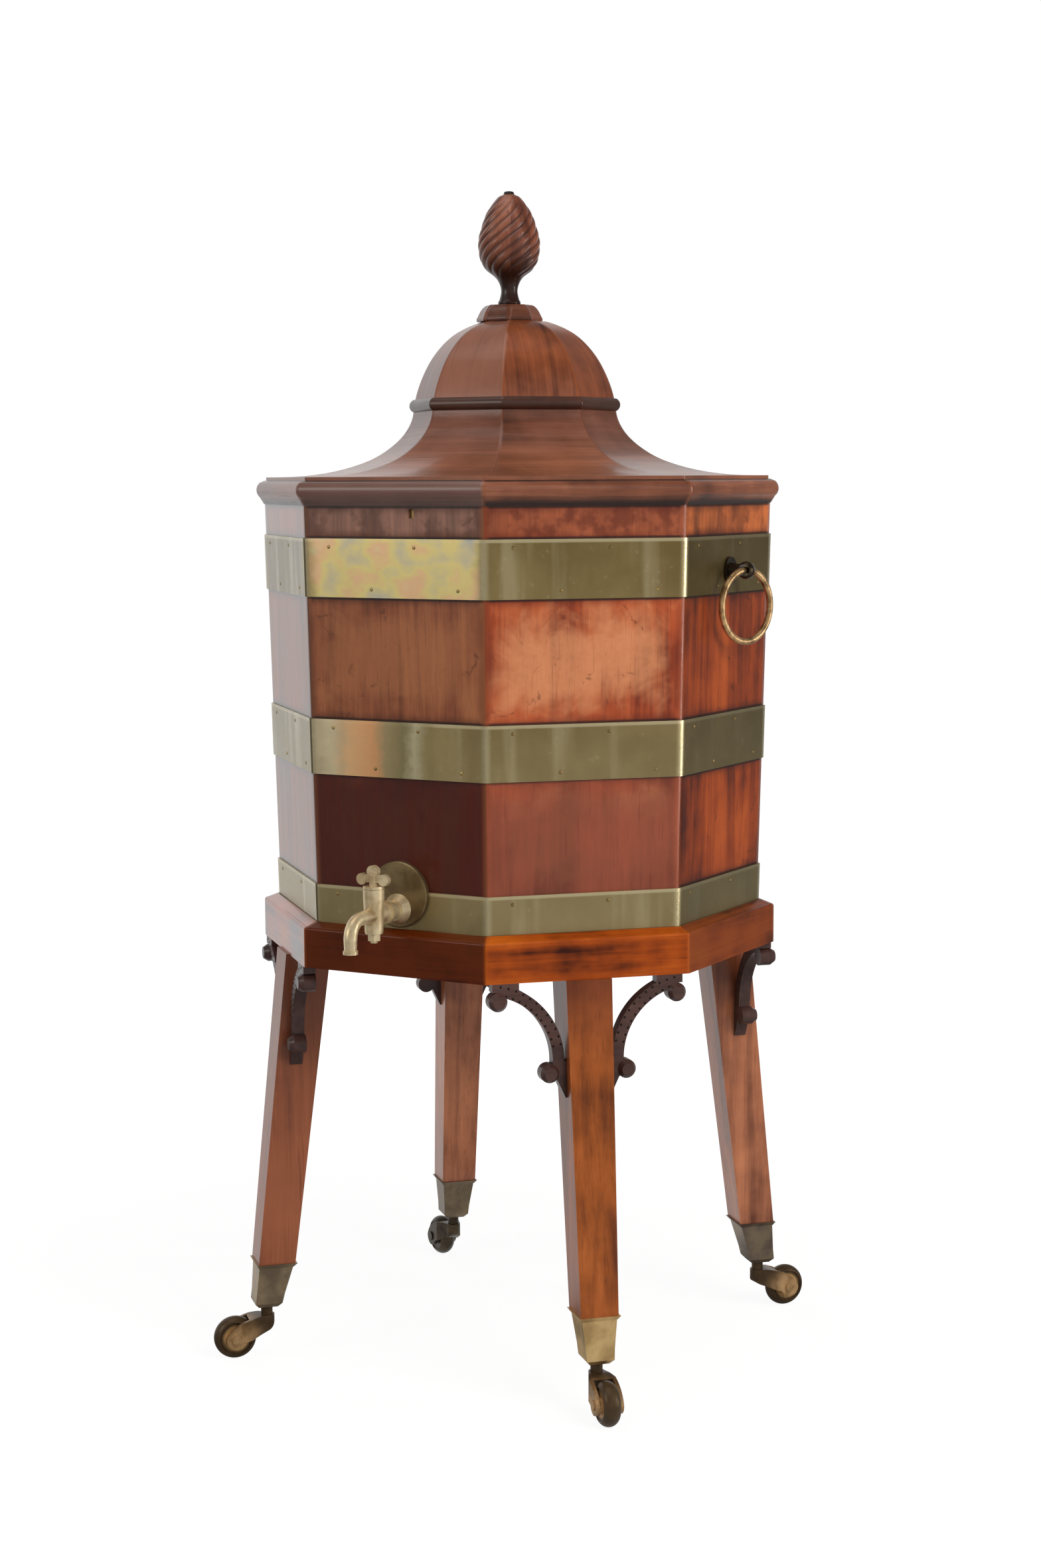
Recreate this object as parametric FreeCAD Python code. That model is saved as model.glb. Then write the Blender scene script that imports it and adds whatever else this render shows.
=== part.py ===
"""Octagonal brass-bound cellarette on a castered stand.

Millimetres, +Z up.  The origin is on the floor, under the axis of the octagon.
-Y is the tap side, the carrying handles are on the +X and -X sides, the lid hinges
at +Y, and the four legs stand under the diagonal sides.

Every octagonal moulding is made as a joiner makes it: one section, run along each
side and cut to the mitres.  Sections are written as (apothem, height) points.
"""
import FreeCAD, Part
import math
import os
from FreeCAD import Vector

# ---------------------------------------------------------------- driving sizes
SIDES = 8
MITRE = math.radians(22.5)          # from the middle of a side to its mitre plane
UP = Vector(0, 0, 1)
ORIGIN = Vector(0, 0, 0)

# tub: a tapering octagon, measured over the brass bands
TUB_BOTTOM = 394.0
TUB_TOP = 759.0
TAPER_LOW = (406.0, 201.9)          # height, apothem over the bands
TAPER_HIGH = (732.0, 210.0)
FACE_OUT = -215.0                   # clear in front of the tap side
FACE_IN = -170.0                    # clear behind it
BAND_THICK = 1.5
PANEL_THICK = 16.0
BOARD_THICK = 14.0
LINER_THICK = 1.2
LINER_TOP = 708.0
INNER = BAND_THICK + PANEL_THICK    # face of the bands to the inside of a panel
BANDS = {"band_bottom": (394.0, 438.0), "band_middle": (533.0, 580.0), "band_top": (683.0, 732.0)}

# stand
APRON_BOTTOM = 367.0
APRON_OUT = 214.3
APRON_IN = 186.0
APRON_EDGE = 402.0                  # outer arris of the weathered top
APRON_EDGE_R = APRON_OUT - 2.6      # where its rounding starts
APRON_TOP = 405.5
REBATE = 202.5                      # wall of the rebate that the tub drops into
LEG_AZIMUTHS = {"front_left": -135.0, "front_right": -45.0, "back_right": 45.0, "back_left": 135.0}
LEG_TOP_R = 196.6                   # leg centre line, distance from the axis
LEG_TOP_WIDE = 40.0
LEG_LOW = 87.0                      # where the leg enters its socket
LEG_LOW_R = 228.0
LEG_LOW_WIDE = 33.0
TENON = (14.0, 24.0, 18.0)          # radial, along the rail, height
TENON_R = 200.0
SCROLL_HEART = (89.7, 299.0)        # centre of the strip's curve: along the rail, height
SCROLL_RADIUS = 63.7                # middle line of the strip
SCROLL_WIDE = 10.0
SCROLL_BALL = 8.0
SCROLL_UPPER = (78.0, 351.8)        # centre of the ball under the rail
SCROLL_LOWER = (33.6, 289.2)        # centre of the ball beside the leg
SCROLL_CROWN = (60.0, 83.0, 7.0)    # block under the rail: start, end, depth
SCROLL_TAIL = 268.0                 # lowest point, on the side of the leg
SCROLL_DEEP = (203.5, 214.3)        # inner and outer face, distance from the axis
ROUNDEL = (5.2, 4.4)                # turned button on each ball: radius of its face, height

# casters; each has come to rest swivelled a little away from straight outward
CASTER_TURN = {"front_left": -1.0, "front_right": 0.0, "back_right": 9.0, "back_left": 9.0}
SWIVEL_R = 235.0                    # swivel axis, distance from the octagon's axis
SOCKET_BOTTOM = 46.0
SOCKET_LOW = 50.0                   # lower edge of the cup, above its blunt nose
SOCKET_NOSE_WIDE = 17.0
SOCKET_WALL = 1.4
LIP_WIDE = 36.4                     # thin lip round the socket's mouth
LIP_DEEP = 3.5
FOOT_TOP_WIDE = 28.5                # the leg inside the socket
FOOT_WIDE = 22.5
FOOT_BOTTOM = 59.0
SPINDLE_R = 4.0
SPINDLE_HEAD = (5.8, 3.2)           # radius, height
SPINDLE_LONG = 11.5                 # above the socket's bottom
HEAD_ROOM = (6.4, 8.0)              # radius of the riveting space, start above the bottom
NECK_R = 5.2
NECK_GAP = 0.4                      # neck to socket
RUNNING = 0.05                      # radial clearance of a turning fit
WHEEL_R = 19.0
WHEEL_WIDE = 16.0
WHEEL_EDGE_R = 14.6                 # where the rounded tread starts
WEB_DISH = 1.6
WEB_R = (7.2, 13.6)                 # inner and outer radius of the dished web
HUB_R = 6.5
TRAIL = 29.0                        # swivel axis to axle
AXLE_R = 3.0
AXLE_HEAD = (4.4, 1.2)              # radius, height of the riveted head
CHEEK_GAP = 8.5                     # middle of the wheel to a cheek's inner face
CHEEK_THICK = 3.4
HORN_TOP = 38.0
HORN_BOSS = 9.0                     # radius of the cheek round the axle
HORN_BACK = 6.8                     # radius of the crown round the swivel axis
HORN_WIDENS = 15.0                  # from the swivel axis to where the horn has its full width
ARCH_PLAY = 1.5                     # wheel to the crown's arch

# lid
RIM_IN = 188.0
RIM_OUT = 216.2                     # nose of the moulding
RIM_NOSE = 772.0                    # height of the nose
RIM_TOP = 780.0
RIM_SHOULDER = 209.5
BOARD_BOTTOM = 761.0
SKIRT_IN = 74.0
SKIRT_OUT = 207.8
SKIRT_EDGE = 783.0
BEAD_BOTTOM = 840.0
DOME_BOTTOM = 851.0
DOME_TOP = 918.6
DOME_FLAT = 27.0                    # half width of the flat under the cap
CAP_TOP = 933.0
CAP_OUT = 27.2
FINIAL_SHIFT = Vector(-3.5, -1.9, 0)    # cap and finial have settled a little off the axis

# hinges
HINGE_Y = 213.0
HINGE_X = 50.0
LEAF_LONG = 50.0
LEAF_DEEP = 197.0                   # inner edge of a leaf
LEAF_THICK = 1.5
HINGE_PLAY = 0.1                    # each leaf lies this far clear of the joint
KNUCKLE_R = 3.2
KNUCKLE_MID = 16.0                  # length of the lid's knuckle
KNUCKLE_GAP = 0.3                   # end clearance, and clearance round a turning knuckle
PIN_R = 1.5

# lock
LOCK_X = 17.8
LOCK_Y = -199.2
LOCK_TOP = 757.0
LOCK_LOW = 722.0
LOCK_FRONT = -205.6
LOCK_BACK = -193.4
CASE_HALF = 26.0
SELVEDGE_HALF = 32.0
CHANNEL_HALF = 24.0
BOLT_HALF = 2.6
BOLT = (742.0, 748.5)               # bottom and top of the bolt
BOLT_BACK = 4.2                     # end of the drawn bolt, from the staple's middle
BOLT_PLAY = 0.2
KEYHOLE_R = 2.6
KEYHOLE = (749.0, 754.4)            # foot of the slot, centre of the round
STAPLE_X = 5.8
STAPLE_HALF = (1.5, 4.4)            # half thickness, half width
STAPLE_LOW = 738.5
STAPLE_WINDOW = (3.3, 740.6, 750.0)     # half width, bottom, top
STAPLE_PLAY = 0.8
LINK_HALF = (15.0, 6.0)
LINK_THICK = 2.0

# tap
TAP_Z = 423.0
PLATE_Z = 435.0
PLATE_R = 28.0
PLATE_FRONT = -206.5
PLATE_BACK = -190.0
SHANK_R = 6.5
SHANK_END = -176.0
COLLAR = (13.0, 9.0, 7.0)           # two radii and the length
NECK_TUBE_R = 7.6
TAP_RING = (9.4, -224.0, -227.5)    # radius and the two faces of the turned ring
PLUG_Y = -244.0
PLUG_TOP = (445.0, 7.3)             # height, radius of the plug's bore
PLUG_LOW = (409.0, 6.1)
HOUSING_R = (7.8, 9.0)              # outside, bottom and top
WATERWAY_R = 3.2
SPOUT_ELBOW = -265.5                # where the bend starts
SPOUT_BEND = 15.0
SPOUT_R = (7.0, 5.6, 5.1)           # at the housing, in the bend, at the mouth
SPOUT_TIP = 396.0
SPOUT_LIP = (6.2, 3.0)              # radius, height
PLUG_FLANGE = (8.8, 2.4)            # radius, thickness
PLUG_STEM_R = 3.6
PLUG_STUD = (3.0, 400.0, 409.6)     # radius, bottom, top
GRIP_LOBES = ((-10.5, 453.0, 4.8), (10.5, 453.0, 4.8), (0.0, 459.6, 5.2))    # across, height, radius
GRIP_HALF = 2.4                     # half thickness
GRIP_BAR = (450.5, 457.0)
NUT_R = 5.8                         # to the corners
NUT_LOW = 402.0
WASHER = (7.4, 407.8, 408.9)        # radius, underside, top
BACK_NUT = (11.0, 6.0)              # radius, thickness

# carrying handles
RING_R = 30.5
RING_WIRE = 2.9
RING_TWIST = 18.0                   # the ring hangs turned this far in its eye
RING_OUT = 16.0                     # pivot, out from the band
POST_Z = 702.5
POST_BALL = 7.6
EYE_R = 5.3
ROSETTE = (11.5, 2.2)               # radius, height over the band
POST_NECK = (6.5, 4.8)              # radius at the rosette, at the ball
POST_SHANK = (3.0, 12.0)            # radius, depth behind the face of the band


# ---------------------------------------------------------------- sections and solids
def at(point):
    """A section point (apothem, height) in space."""
    return Vector(point[0], 0, point[1])


def line(*points):
    """Straight edges through the points."""
    return [Part.makeLine(at(a), at(b)) for a, b in zip(points, points[1:])]


def curve(*points):
    """One smooth edge through the points."""
    spline = Part.BSplineCurve()
    spline.interpolate([at(p) for p in points])
    return [spline.toShape()]


def arc(start, middle, end):
    """A circular edge through three points."""
    return [Part.Arc(at(start), at(middle), at(end)).toShape()]


def section(edges):
    """The face inside a closed run of edges."""
    return Part.Face(Part.Wire(Part.__sortEdges__(edges)))


def turned(shape, degrees):
    """A copy turned about the axis of the octagon."""
    copy = shape.copy()
    copy.rotate(ORIGIN, UP, degrees)
    return copy


def moved(shape, x=0.0, y=0.0, z=0.0):
    """A shifted copy."""
    copy = shape.copy()
    copy.translate(Vector(x, y, z))
    return copy


def about(middle, half):
    """A (low, high) pair round a middle."""
    return middle - half, middle + half


def block(x, y, z):
    """A box from three (low, high) pairs."""
    return Part.makeBox(x[1] - x[0], y[1] - y[0], z[1] - z[0], Vector(x[0], y[0], z[0]))


def rod(radius, start, end):
    """A round bar between two points."""
    run = end - start
    return Part.makeCylinder(radius, run.Length, start, run)


def hexagonal(radius, start, end):
    """A six-sided bar between two points, with its corners at the radius."""
    run = end - start
    angles = [math.pi / 3 * k for k in range(7)]
    corners = [Vector(radius * math.cos(a), radius * math.sin(a), 0) for a in angles]
    bar = Part.Face(Part.makePolygon(corners)).extrude(UP * run.Length)
    bar.Placement = FreeCAD.Placement(start, FreeCAD.Rotation(UP, run))
    return bar


def fused(shapes):
    """One solid from solids that meet."""
    whole = shapes[0].fuse(shapes[1:])
    return whole.removeSplitter()


def mitre_wedge(reach, low, high):
    """Everything nearer to the +X side than to its neighbours."""
    half = reach * math.tan(MITRE)
    corners = [Vector(0, 0, low), Vector(reach, -half, low), Vector(reach, half, low), Vector(0, 0, low)]
    return Part.Face(Part.makePolygon(corners)).extrude(UP * (high - low))


def mitred(face, side=0):
    """The section run along one side of the octagon and cut to its mitres."""
    bounds = face.BoundBox
    reach = bounds.XMax + 5
    half = reach * math.tan(MITRE)
    run = moved(face, y=-half).extrude(Vector(0, 2 * half, 0))
    piece = run.common(mitre_wedge(reach, bounds.ZMin - 1, bounds.ZMax + 1))
    return turned(piece.Solids[0], 360.0 / SIDES * side)


def mitred_ring(face):
    """Eight mitred lengths, kept apart at the joints."""
    return Part.Compound([mitred(face, side) for side in range(SIDES)])


def octagon(apothem, height):
    """A regular octagon with a side square to +X."""
    radius = apothem / math.cos(MITRE)
    angles = [MITRE + 2 * MITRE * k for k in range(SIDES + 1)]
    return Part.makePolygon([Vector(radius * math.cos(a), radius * math.sin(a), height) for a in angles])


def square(centre, wide, height):
    """A level square about a point on the +X axis."""
    h = wide / 2
    corners = [(-h, -h), (h, -h), (h, h), (-h, h), (-h, -h)]
    return Part.makePolygon([Vector(centre + x, y, height) for x, y in corners])


def lofted(wires):
    """A ruled solid through closed wires."""
    return Part.makeLoft(wires, True, True)


# ---------------------------------------------------------------- tub
def tub_apothem(height, inset=0.0):
    """Apothem of the tapering tub, measured in from the face of the bands."""
    slope = (TAPER_HIGH[1] - TAPER_LOW[1]) / (TAPER_HIGH[0] - TAPER_LOW[0])
    return TAPER_LOW[1] + slope * (height - TAPER_LOW[0]) - inset


def tub_frustum(low, high, inset):
    """The tapering octagon between two heights."""
    return lofted([octagon(tub_apothem(z, inset), z) for z in (low, high)])


def panel():
    """One tapering side of the tub, mitred to its neighbours."""
    ends = [(TUB_BOTTOM, INNER), (TUB_BOTTOM, BAND_THICK), (TUB_TOP, BAND_THICK), (TUB_TOP, INNER)]
    corners = [(tub_apothem(z, inset), z) for z, inset in ends]
    return mitred(section(line(*corners, corners[0])))


def tap_hole():
    """The hole for the tap's shank, through the whole tap side."""
    return rod(SHANK_R, Vector(0, FACE_OUT, TAP_Z), Vector(0, FACE_IN, TAP_Z))


def front_panel():
    """The panel with the tap's hole, the lock's pocket and the keyhole."""
    foot, heart = KEYHOLE
    slot = block((LOCK_X - KEYHOLE_R, LOCK_X + KEYHOLE_R), (FACE_OUT, LOCK_FRONT), (foot, heart))
    eye = rod(KEYHOLE_R, Vector(LOCK_X, FACE_OUT, heart), Vector(LOCK_X, LOCK_FRONT, heart))
    return turned(panel(), -90).cut([tap_hole(), slot.fuse(eye), lock_body()])


def back_panel():
    """The panel whose top edge takes the hinge leaves."""
    low = TUB_TOP - LEAF_THICK - HINGE_PLAY
    beds = [block(leaf_span(x), (LEAF_DEEP, -FACE_OUT), (low, TUB_TOP + 1)) for x in (-HINGE_X, HINGE_X)]
    return turned(panel(), 90).cut(beds)


def side_panel(azimuth):
    """A handle side, bored for the shank of its post."""
    return turned(panel().cut(post_shank()), azimuth)


def tub_board():
    """The bottom board, let in between the panels."""
    return tub_frustum(TUB_BOTTOM, TUB_BOTTOM + BOARD_THICK, INNER)


def liner():
    """The metal lining that holds the ice and water."""
    floor = TUB_BOTTOM + BOARD_THICK
    outside = tub_frustum(floor, LINER_TOP, INNER)
    inside = tub_frustum(floor + LINER_THICK, LINER_TOP, INNER + LINER_THICK)
    return outside.cut([inside, tap_hole()])


def band(name):
    """One brass band, bent round the tub."""
    low, high = BANDS[name]
    ring = tub_frustum(low, high, 0).cut(tub_frustum(low, high, BAND_THICK))
    holes = {"band_bottom": [tap_hole()], "band_top": [post_shank(), turned(post_shank(), 180)]}
    return ring.cut(holes[name]) if name in holes else ring


# ---------------------------------------------------------------- stand
def apron_section():
    """Rail with a rebate for the tub and a weathered, rounded top."""
    arris = (APRON_EDGE_R, APRON_EDGE)
    below = (APRON_OUT, APRON_EDGE - 3)
    outline = line(arris, (REBATE + 1, APRON_TOP), (REBATE, APRON_TOP), (REBATE, TUB_BOTTOM),
                   (APRON_IN, TUB_BOTTOM), (APRON_IN, APRON_BOTTOM), (APRON_OUT, APRON_BOTTOM), below)
    return section(outline + arc(below, (APRON_OUT - 0.7, APRON_EDGE - 0.9), arris))


def apron_rails():
    """Eight mitred rails; the diagonal ones are mortised for the legs."""
    rails = mitred_ring(apron_section()).Solids
    tenons = Part.Compound([turned(tenon(), azimuth) for azimuth in LEG_AZIMUTHS.values()])
    return Part.Compound([rail.cut(tenons) for rail in rails])


def tenon():
    """The stub on a leg that enters the rail."""
    radial, along, high = TENON
    depth = (TENON_R - radial / 2, TENON_R + radial / 2)
    return block(depth, (-along / 2, along / 2), (APRON_BOTTOM, APRON_BOTTOM + high))


def leg():
    """Square tapering leg with its tenon above and its tapered foot below."""
    shaft = lofted([square(LEG_TOP_R, LEG_TOP_WIDE, APRON_BOTTOM), square(LEG_LOW_R, LEG_LOW_WIDE, LEG_LOW)])
    return fused([shaft, leg_foot(), tenon()])


def leg_foot():
    """The part of the leg inside the socket."""
    low = square(socket_centre(FOOT_BOTTOM), FOOT_WIDE, FOOT_BOTTOM)
    return lofted([square(LEG_LOW_R, FOOT_TOP_WIDE, LEG_LOW), low])


def scroll_ball(centre):
    """The round end of a scroll, with a turned button on its outer face."""
    back, front = SCROLL_DEEP
    ahead = Vector(1, 0, 0)
    face, proud = ROUNDEL
    button = Part.makeCone(SCROLL_BALL, face, proud, Vector(front, *centre), ahead)
    return Part.makeCylinder(SCROLL_BALL, front - back, Vector(back, *centre), ahead).fuse(button)


def scroll():
    """One C-scroll between the side of a leg and the underside of the rail."""
    depth = SCROLL_DEEP[1] - SCROLL_DEEP[0]
    ahead = Vector(1, 0, 0)
    heart = Vector(SCROLL_DEEP[0], *SCROLL_HEART)
    outer = Part.makeCylinder(SCROLL_RADIUS + SCROLL_WIDE / 2, depth, heart, ahead)
    inner = Part.makeCylinder(SCROLL_RADIUS - SCROLL_WIDE / 2, depth, heart, ahead)
    quarter = block(SCROLL_DEEP, (0, SCROLL_UPPER[0]), (heart.z, APRON_BOTTOM))
    strip = outer.cut(inner).common(quarter)
    balls = [scroll_ball(centre) for centre in (SCROLL_UPPER, SCROLL_LOWER)]
    start, end, deep = SCROLL_CROWN
    crown = block(SCROLL_DEEP, (start, end), (APRON_BOTTOM - deep, APRON_BOTTOM))
    root = LEG_LOW_WIDE / 3
    inner_edge = heart.y - SCROLL_RADIUS + SCROLL_WIDE / 2
    along, high = SCROLL_LOWER
    outline = [(root, heart.z), (inner_edge, heart.z), (along - 2, high), (along - 7, high - 7),
               (LEG_TOP_WIDE / 2, SCROLL_TAIL), (root, SCROLL_TAIL), (root, heart.z)]
    tail = Part.Face(Part.makePolygon([Vector(heart.x, y, z) for y, z in outline])).extrude(ahead * depth)
    return fused([strip, crown, tail] + balls).cut(leg())


def scroll_pair():
    """The scrolls on both sides of one leg."""
    one = scroll()
    return Part.Compound([one, one.mirror(ORIGIN, Vector(0, 1, 0))])


# ---------------------------------------------------------------- casters, built on the +X axis
def socket_centre(height):
    """Centre line of the socket, which leans out a little more than the leg."""
    share = (LEG_LOW - height) / (LEG_LOW - SOCKET_LOW)
    return LEG_LOW_R + share * (SWIVEL_R - LEG_LOW_R)


def socket():
    """Tapered square cup with a thin lip, bored below for the spindle."""
    wall = 2 * SOCKET_WALL
    top, low = FOOT_TOP_WIDE + wall, FOOT_WIDE + wall
    lip_low = LEG_LOW - LIP_DEEP
    levels = [square(socket_centre(z), wide, z)
              for z, wide in ((SOCKET_LOW, low - 1), (FOOT_BOTTOM, low), (LEG_LOW, top))]
    cup = [lofted([low_wire, high_wire]) for low_wire, high_wire in zip(levels, levels[1:])]
    lip = lofted([square(socket_centre(lip_low), top, lip_low), square(LEG_LOW_R, LIP_WIDE, LEG_LOW)])
    nose = lofted([levels[0], square(SWIVEL_R, SOCKET_NOSE_WIDE, SOCKET_BOTTOM)])
    bore = upright(SPINDLE_R + RUNNING, SOCKET_BOTTOM - 1, SOCKET_BOTTOM + SPINDLE_LONG)
    head_room = upright(HEAD_ROOM[0], SOCKET_BOTTOM + HEAD_ROOM[1], FOOT_BOTTOM)
    return fused(cup + [lip, nose]).cut([leg_foot(), bore, head_room])


def upright(radius, low, high):
    """A round bar on the swivel axis."""
    return rod(radius, Vector(SWIVEL_R, 0, low), Vector(SWIVEL_R, 0, high))


def across(radius, half):
    """A round bar on the axle's line."""
    middle = Vector(SWIVEL_R + TRAIL, 0, WHEEL_R)
    return rod(radius, middle - Vector(0, half, 0), middle + Vector(0, half, 0))


def cheek_outline():
    """Side view of the horn: a deep crown sweeping down and out to a round boss at the axle."""
    def out(reach, height):
        return SWIVEL_R + reach, height

    lean = 0.944 * HORN_BOSS
    start, end = out(TRAIL + HORN_BOSS, WHEEL_R), out(TRAIL - lean, WHEEL_R - HORN_BOSS / 3)
    crown = line(out(-HORN_BACK, HORN_TOP - 5), out(-HORN_BACK, HORN_TOP), out(HORN_BACK, HORN_TOP))
    back = curve(out(HORN_BACK, HORN_TOP), out(20, 35), out(31, 29), start)
    boss = arc(start, out(TRAIL, WHEEL_R - HORN_BOSS), end)
    belly = curve(end, out(14, 18.2), out(5, 22), out(-3, 25.5), out(-HORN_BACK, HORN_TOP - 5))
    return section(crown + back + boss + belly)


def horn_plan():
    """The horn from above: round about the swivel, widening to the fork."""
    half, far, near = CHEEK_GAP + CHEEK_THICK, SWIVEL_R + TRAIL + 2 * HORN_BOSS, SWIVEL_R + HORN_WIDENS
    corners = [(SWIVEL_R, HORN_BACK), (near, half), (far, half), (far, -half), (near, -half),
               (SWIVEL_R, -HORN_BACK), (SWIVEL_R, HORN_BACK)]
    wings = Part.Face(Part.makePolygon([Vector(x, y, 0) for x, y in corners])).extrude(UP * (HORN_TOP + 1))
    return wings.fuse(upright(HORN_BACK, 0, HORN_TOP + 1))


def horn():
    """Forked horn with its neck, its spindle and a riveted head."""
    outside = CHEEK_GAP + CHEEK_THICK
    body = moved(cheek_outline(), y=-outside).extrude(Vector(0, 2 * outside, 0)).common(horn_plan())
    arch = across(WHEEL_R + ARCH_PLAY, CHEEK_GAP)
    eye = across(AXLE_R, outside + 1)
    top = SOCKET_BOTTOM + SPINDLE_LONG
    neck = upright(NECK_R, HORN_TOP - 1, SOCKET_BOTTOM - NECK_GAP)
    spindle = upright(SPINDLE_R, HORN_TOP - 1, top)
    head = upright(SPINDLE_HEAD[0], top - SPINDLE_HEAD[1], top)
    return fused([body.cut([arch, eye]), neck, spindle, head])


def axle():
    """Riveted axle."""
    half = CHEEK_GAP + CHEEK_THICK
    radius, high = AXLE_HEAD
    heads = across(radius, half + high).cut(across(radius + 1, half))
    return fused([across(AXLE_R, half)] + heads.Solids)


def wheel():
    """Brass wheel: rounded tread, dished webs and a bored hub."""
    half, bore = WHEEL_WIDE / 2, AXLE_R + RUNNING
    web = half - WEB_DISH
    side = [(bore, half), (HUB_R, half), (WEB_R[0], web), (WEB_R[1], web), (WHEEL_EDGE_R, half - 0.5)]
    other = [(radius, -height) for radius, height in reversed(side)]
    tread = arc(side[-1], (WHEEL_R, 0), other[0])
    spun = section(line(other[-1], *side) + tread + line(*other)).revolve(ORIGIN, UP, 360)
    spun.rotate(ORIGIN, Vector(1, 0, 0), 90)
    return moved(spun, x=SWIVEL_R + TRAIL, z=WHEEL_R)


def swivelled(shape, degrees):
    """A caster's lower part turned about its spindle."""
    copy = shape.copy()
    copy.rotate(Vector(SWIVEL_R, 0, 0), UP, degrees)
    return copy


# ---------------------------------------------------------------- lid
def lid_rim():
    """Moulded edge of the lid, notched for the hinges and the link plate."""
    lip = (RIM_OUT - 2.8, RIM_NOSE - 6.8)
    crest = (RIM_OUT - 2.8, RIM_TOP - 1.8)
    inside = [(RIM_SHOULDER, RIM_TOP), (RIM_IN, RIM_TOP), (RIM_IN, TUB_TOP)]
    under = line(*inside, (RIM_SHOULDER + 0.3, TUB_TOP), lip)
    nose = arc(lip, (RIM_OUT, RIM_NOSE), crest)
    rim = mitred_ring(section(under + nose + line(crest, (RIM_SHOULDER, RIM_TOP))))
    cuts = [link_plate_bed()]
    for x in (-HINGE_X, HINGE_X):
        bed, barrel = leaf_span(x), leaf_span(x, KNUCKLE_GAP)
        low, outer = TUB_TOP - 1, RIM_OUT + 2
        behind, over = HINGE_Y - KNUCKLE_R - 0.9, TUB_TOP + KNUCKLE_R + KNUCKLE_GAP
        cuts.append(block(bed, (LEAF_DEEP, outer), (low, TUB_TOP + LEAF_THICK + HINGE_PLAY)))
        cuts.append(block(barrel, (behind, outer), (low, over)))
    return Part.Compound([length.cut(cuts) for length in rim.Solids])


def lid_board():
    """Flat board that closes the lid from below."""
    return lofted([octagon(RIM_IN, BOARD_BOTTOM), octagon(RIM_IN, RIM_TOP)])


def lid_skirt():
    """Eight coved segments that sweep from the rim up to the bead."""
    edge, top = (SKIRT_OUT, SKIRT_EDGE), (83.6, BEAD_BOTTOM)
    cove = curve(edge, (150, 788), (130.6, 793.6), (117.4, 799.2), (104, 808), (93.5, 818), (86.6, 829), top)
    rest = line(top, (SKIRT_IN, BEAD_BOTTOM), (SKIRT_IN, RIM_TOP), (SKIRT_OUT, RIM_TOP), edge)
    return mitred_ring(section(cove + rest))


def lid_bead():
    """Astragal between the cove and the dome."""
    low, high = (84.0, BEAD_BOTTOM), (83.6, DOME_BOTTOM)
    bead = arc(low, (87.0, (BEAD_BOTTOM + DOME_BOTTOM) / 2), high)
    rest = line(high, (SKIRT_IN, DOME_BOTTOM), (SKIRT_IN, BEAD_BOTTOM), low)
    return mitred_ring(section(bead + rest))


def lid_dome():
    """Eight bowed segments that meet under the cap."""
    foot, inner_foot = (82, DOME_BOTTOM), (72, DOME_BOTTOM)
    flat, crown = (DOME_FLAT, DOME_TOP), (0, 906)
    bow = [(79.6, 860.5), (75.4, 872), (69.8, 883.7), (60.6, 897), (50.4, 907), (40.8, 913)]
    outside = curve(foot, *bow, flat)
    inside = curve(crown, (34, 901), (56, 884), (69, 862), inner_foot)
    rest = line(flat, (0, DOME_TOP), crown) + line(inner_foot, foot)
    return mitred_ring(section(outside + inside + rest))


def lid_cap():
    """Small octagonal moulding under the finial, widest where it sits on the dome."""
    foot, shoulder = (CAP_OUT - 0.6, DOME_TOP), (19.0, CAP_TOP)
    side = line((0, CAP_TOP), (0, DOME_TOP), foot) + arc(foot, (CAP_OUT, 920.4), (26.4, 922.6))
    side += curve((26.4, 922.6), (24.6, 926.6), (22.2, 930.4), shoulder) + line(shoulder, (0, CAP_TOP))
    cap = fused([mitred(section(side), k) for k in range(SIDES)])
    cap.translate(FINIAL_SHIFT)
    return cap


def finial():
    """Turned neck and egg with a small tip."""
    foot, ring, waist, brow = (9.6, CAP_TOP), (8.6, 938.5), (12, 957), (4.2, 1029)
    neck = line((0, CAP_TOP), foot) + arc(foot, (10, 935.5), ring)
    neck += curve(ring, (7.3, 945), (8.4, 951), waist)
    swell = [(20.5, 964), (25.6, 972.5), (27.4, 984), (25.6, 997), (20.2, 1012.5), (11, 1025.5)]
    egg = curve(waist, *swell, brow)
    tip = line(brow, (4.2, 1031), (0, 1032), (0, CAP_TOP))
    spun = section(neck + egg + tip).revolve(ORIGIN, UP, 360)
    spun.translate(FINIAL_SHIFT)
    return spun


# ---------------------------------------------------------------- hinges
def leaf_span(middle, spare=0.0):
    """The two ends of a leaf along X."""
    return about(middle, LEAF_LONG / 2 + spare)


def knuckle(middle, length, radius):
    """A cylinder on the hinge axis."""
    start, end = about(middle, length / 2)
    return rod(radius, Vector(start, HINGE_Y, TUB_TOP), Vector(end, HINGE_Y, TUB_TOP))


def leaf(middle, low):
    """The flat of one leaf."""
    return block(leaf_span(middle), (LEAF_DEEP, HINGE_Y), (low, low + LEAF_THICK))


def tub_leaf(middle):
    """Fixed leaf with the two outer knuckles."""
    gap = KNUCKLE_MID + 2 * KNUCKLE_GAP
    ends = knuckle(middle, LEAF_LONG, KNUCKLE_R).cut(knuckle(middle, gap, KNUCKLE_R + 1))
    flat = leaf(middle, TUB_TOP - HINGE_PLAY - LEAF_THICK).cut(knuckle(middle, gap, KNUCKLE_R + KNUCKLE_GAP))
    return flat.fuse(ends).removeSplitter().cut(knuckle(middle, LEAF_LONG + 2, PIN_R))


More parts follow.
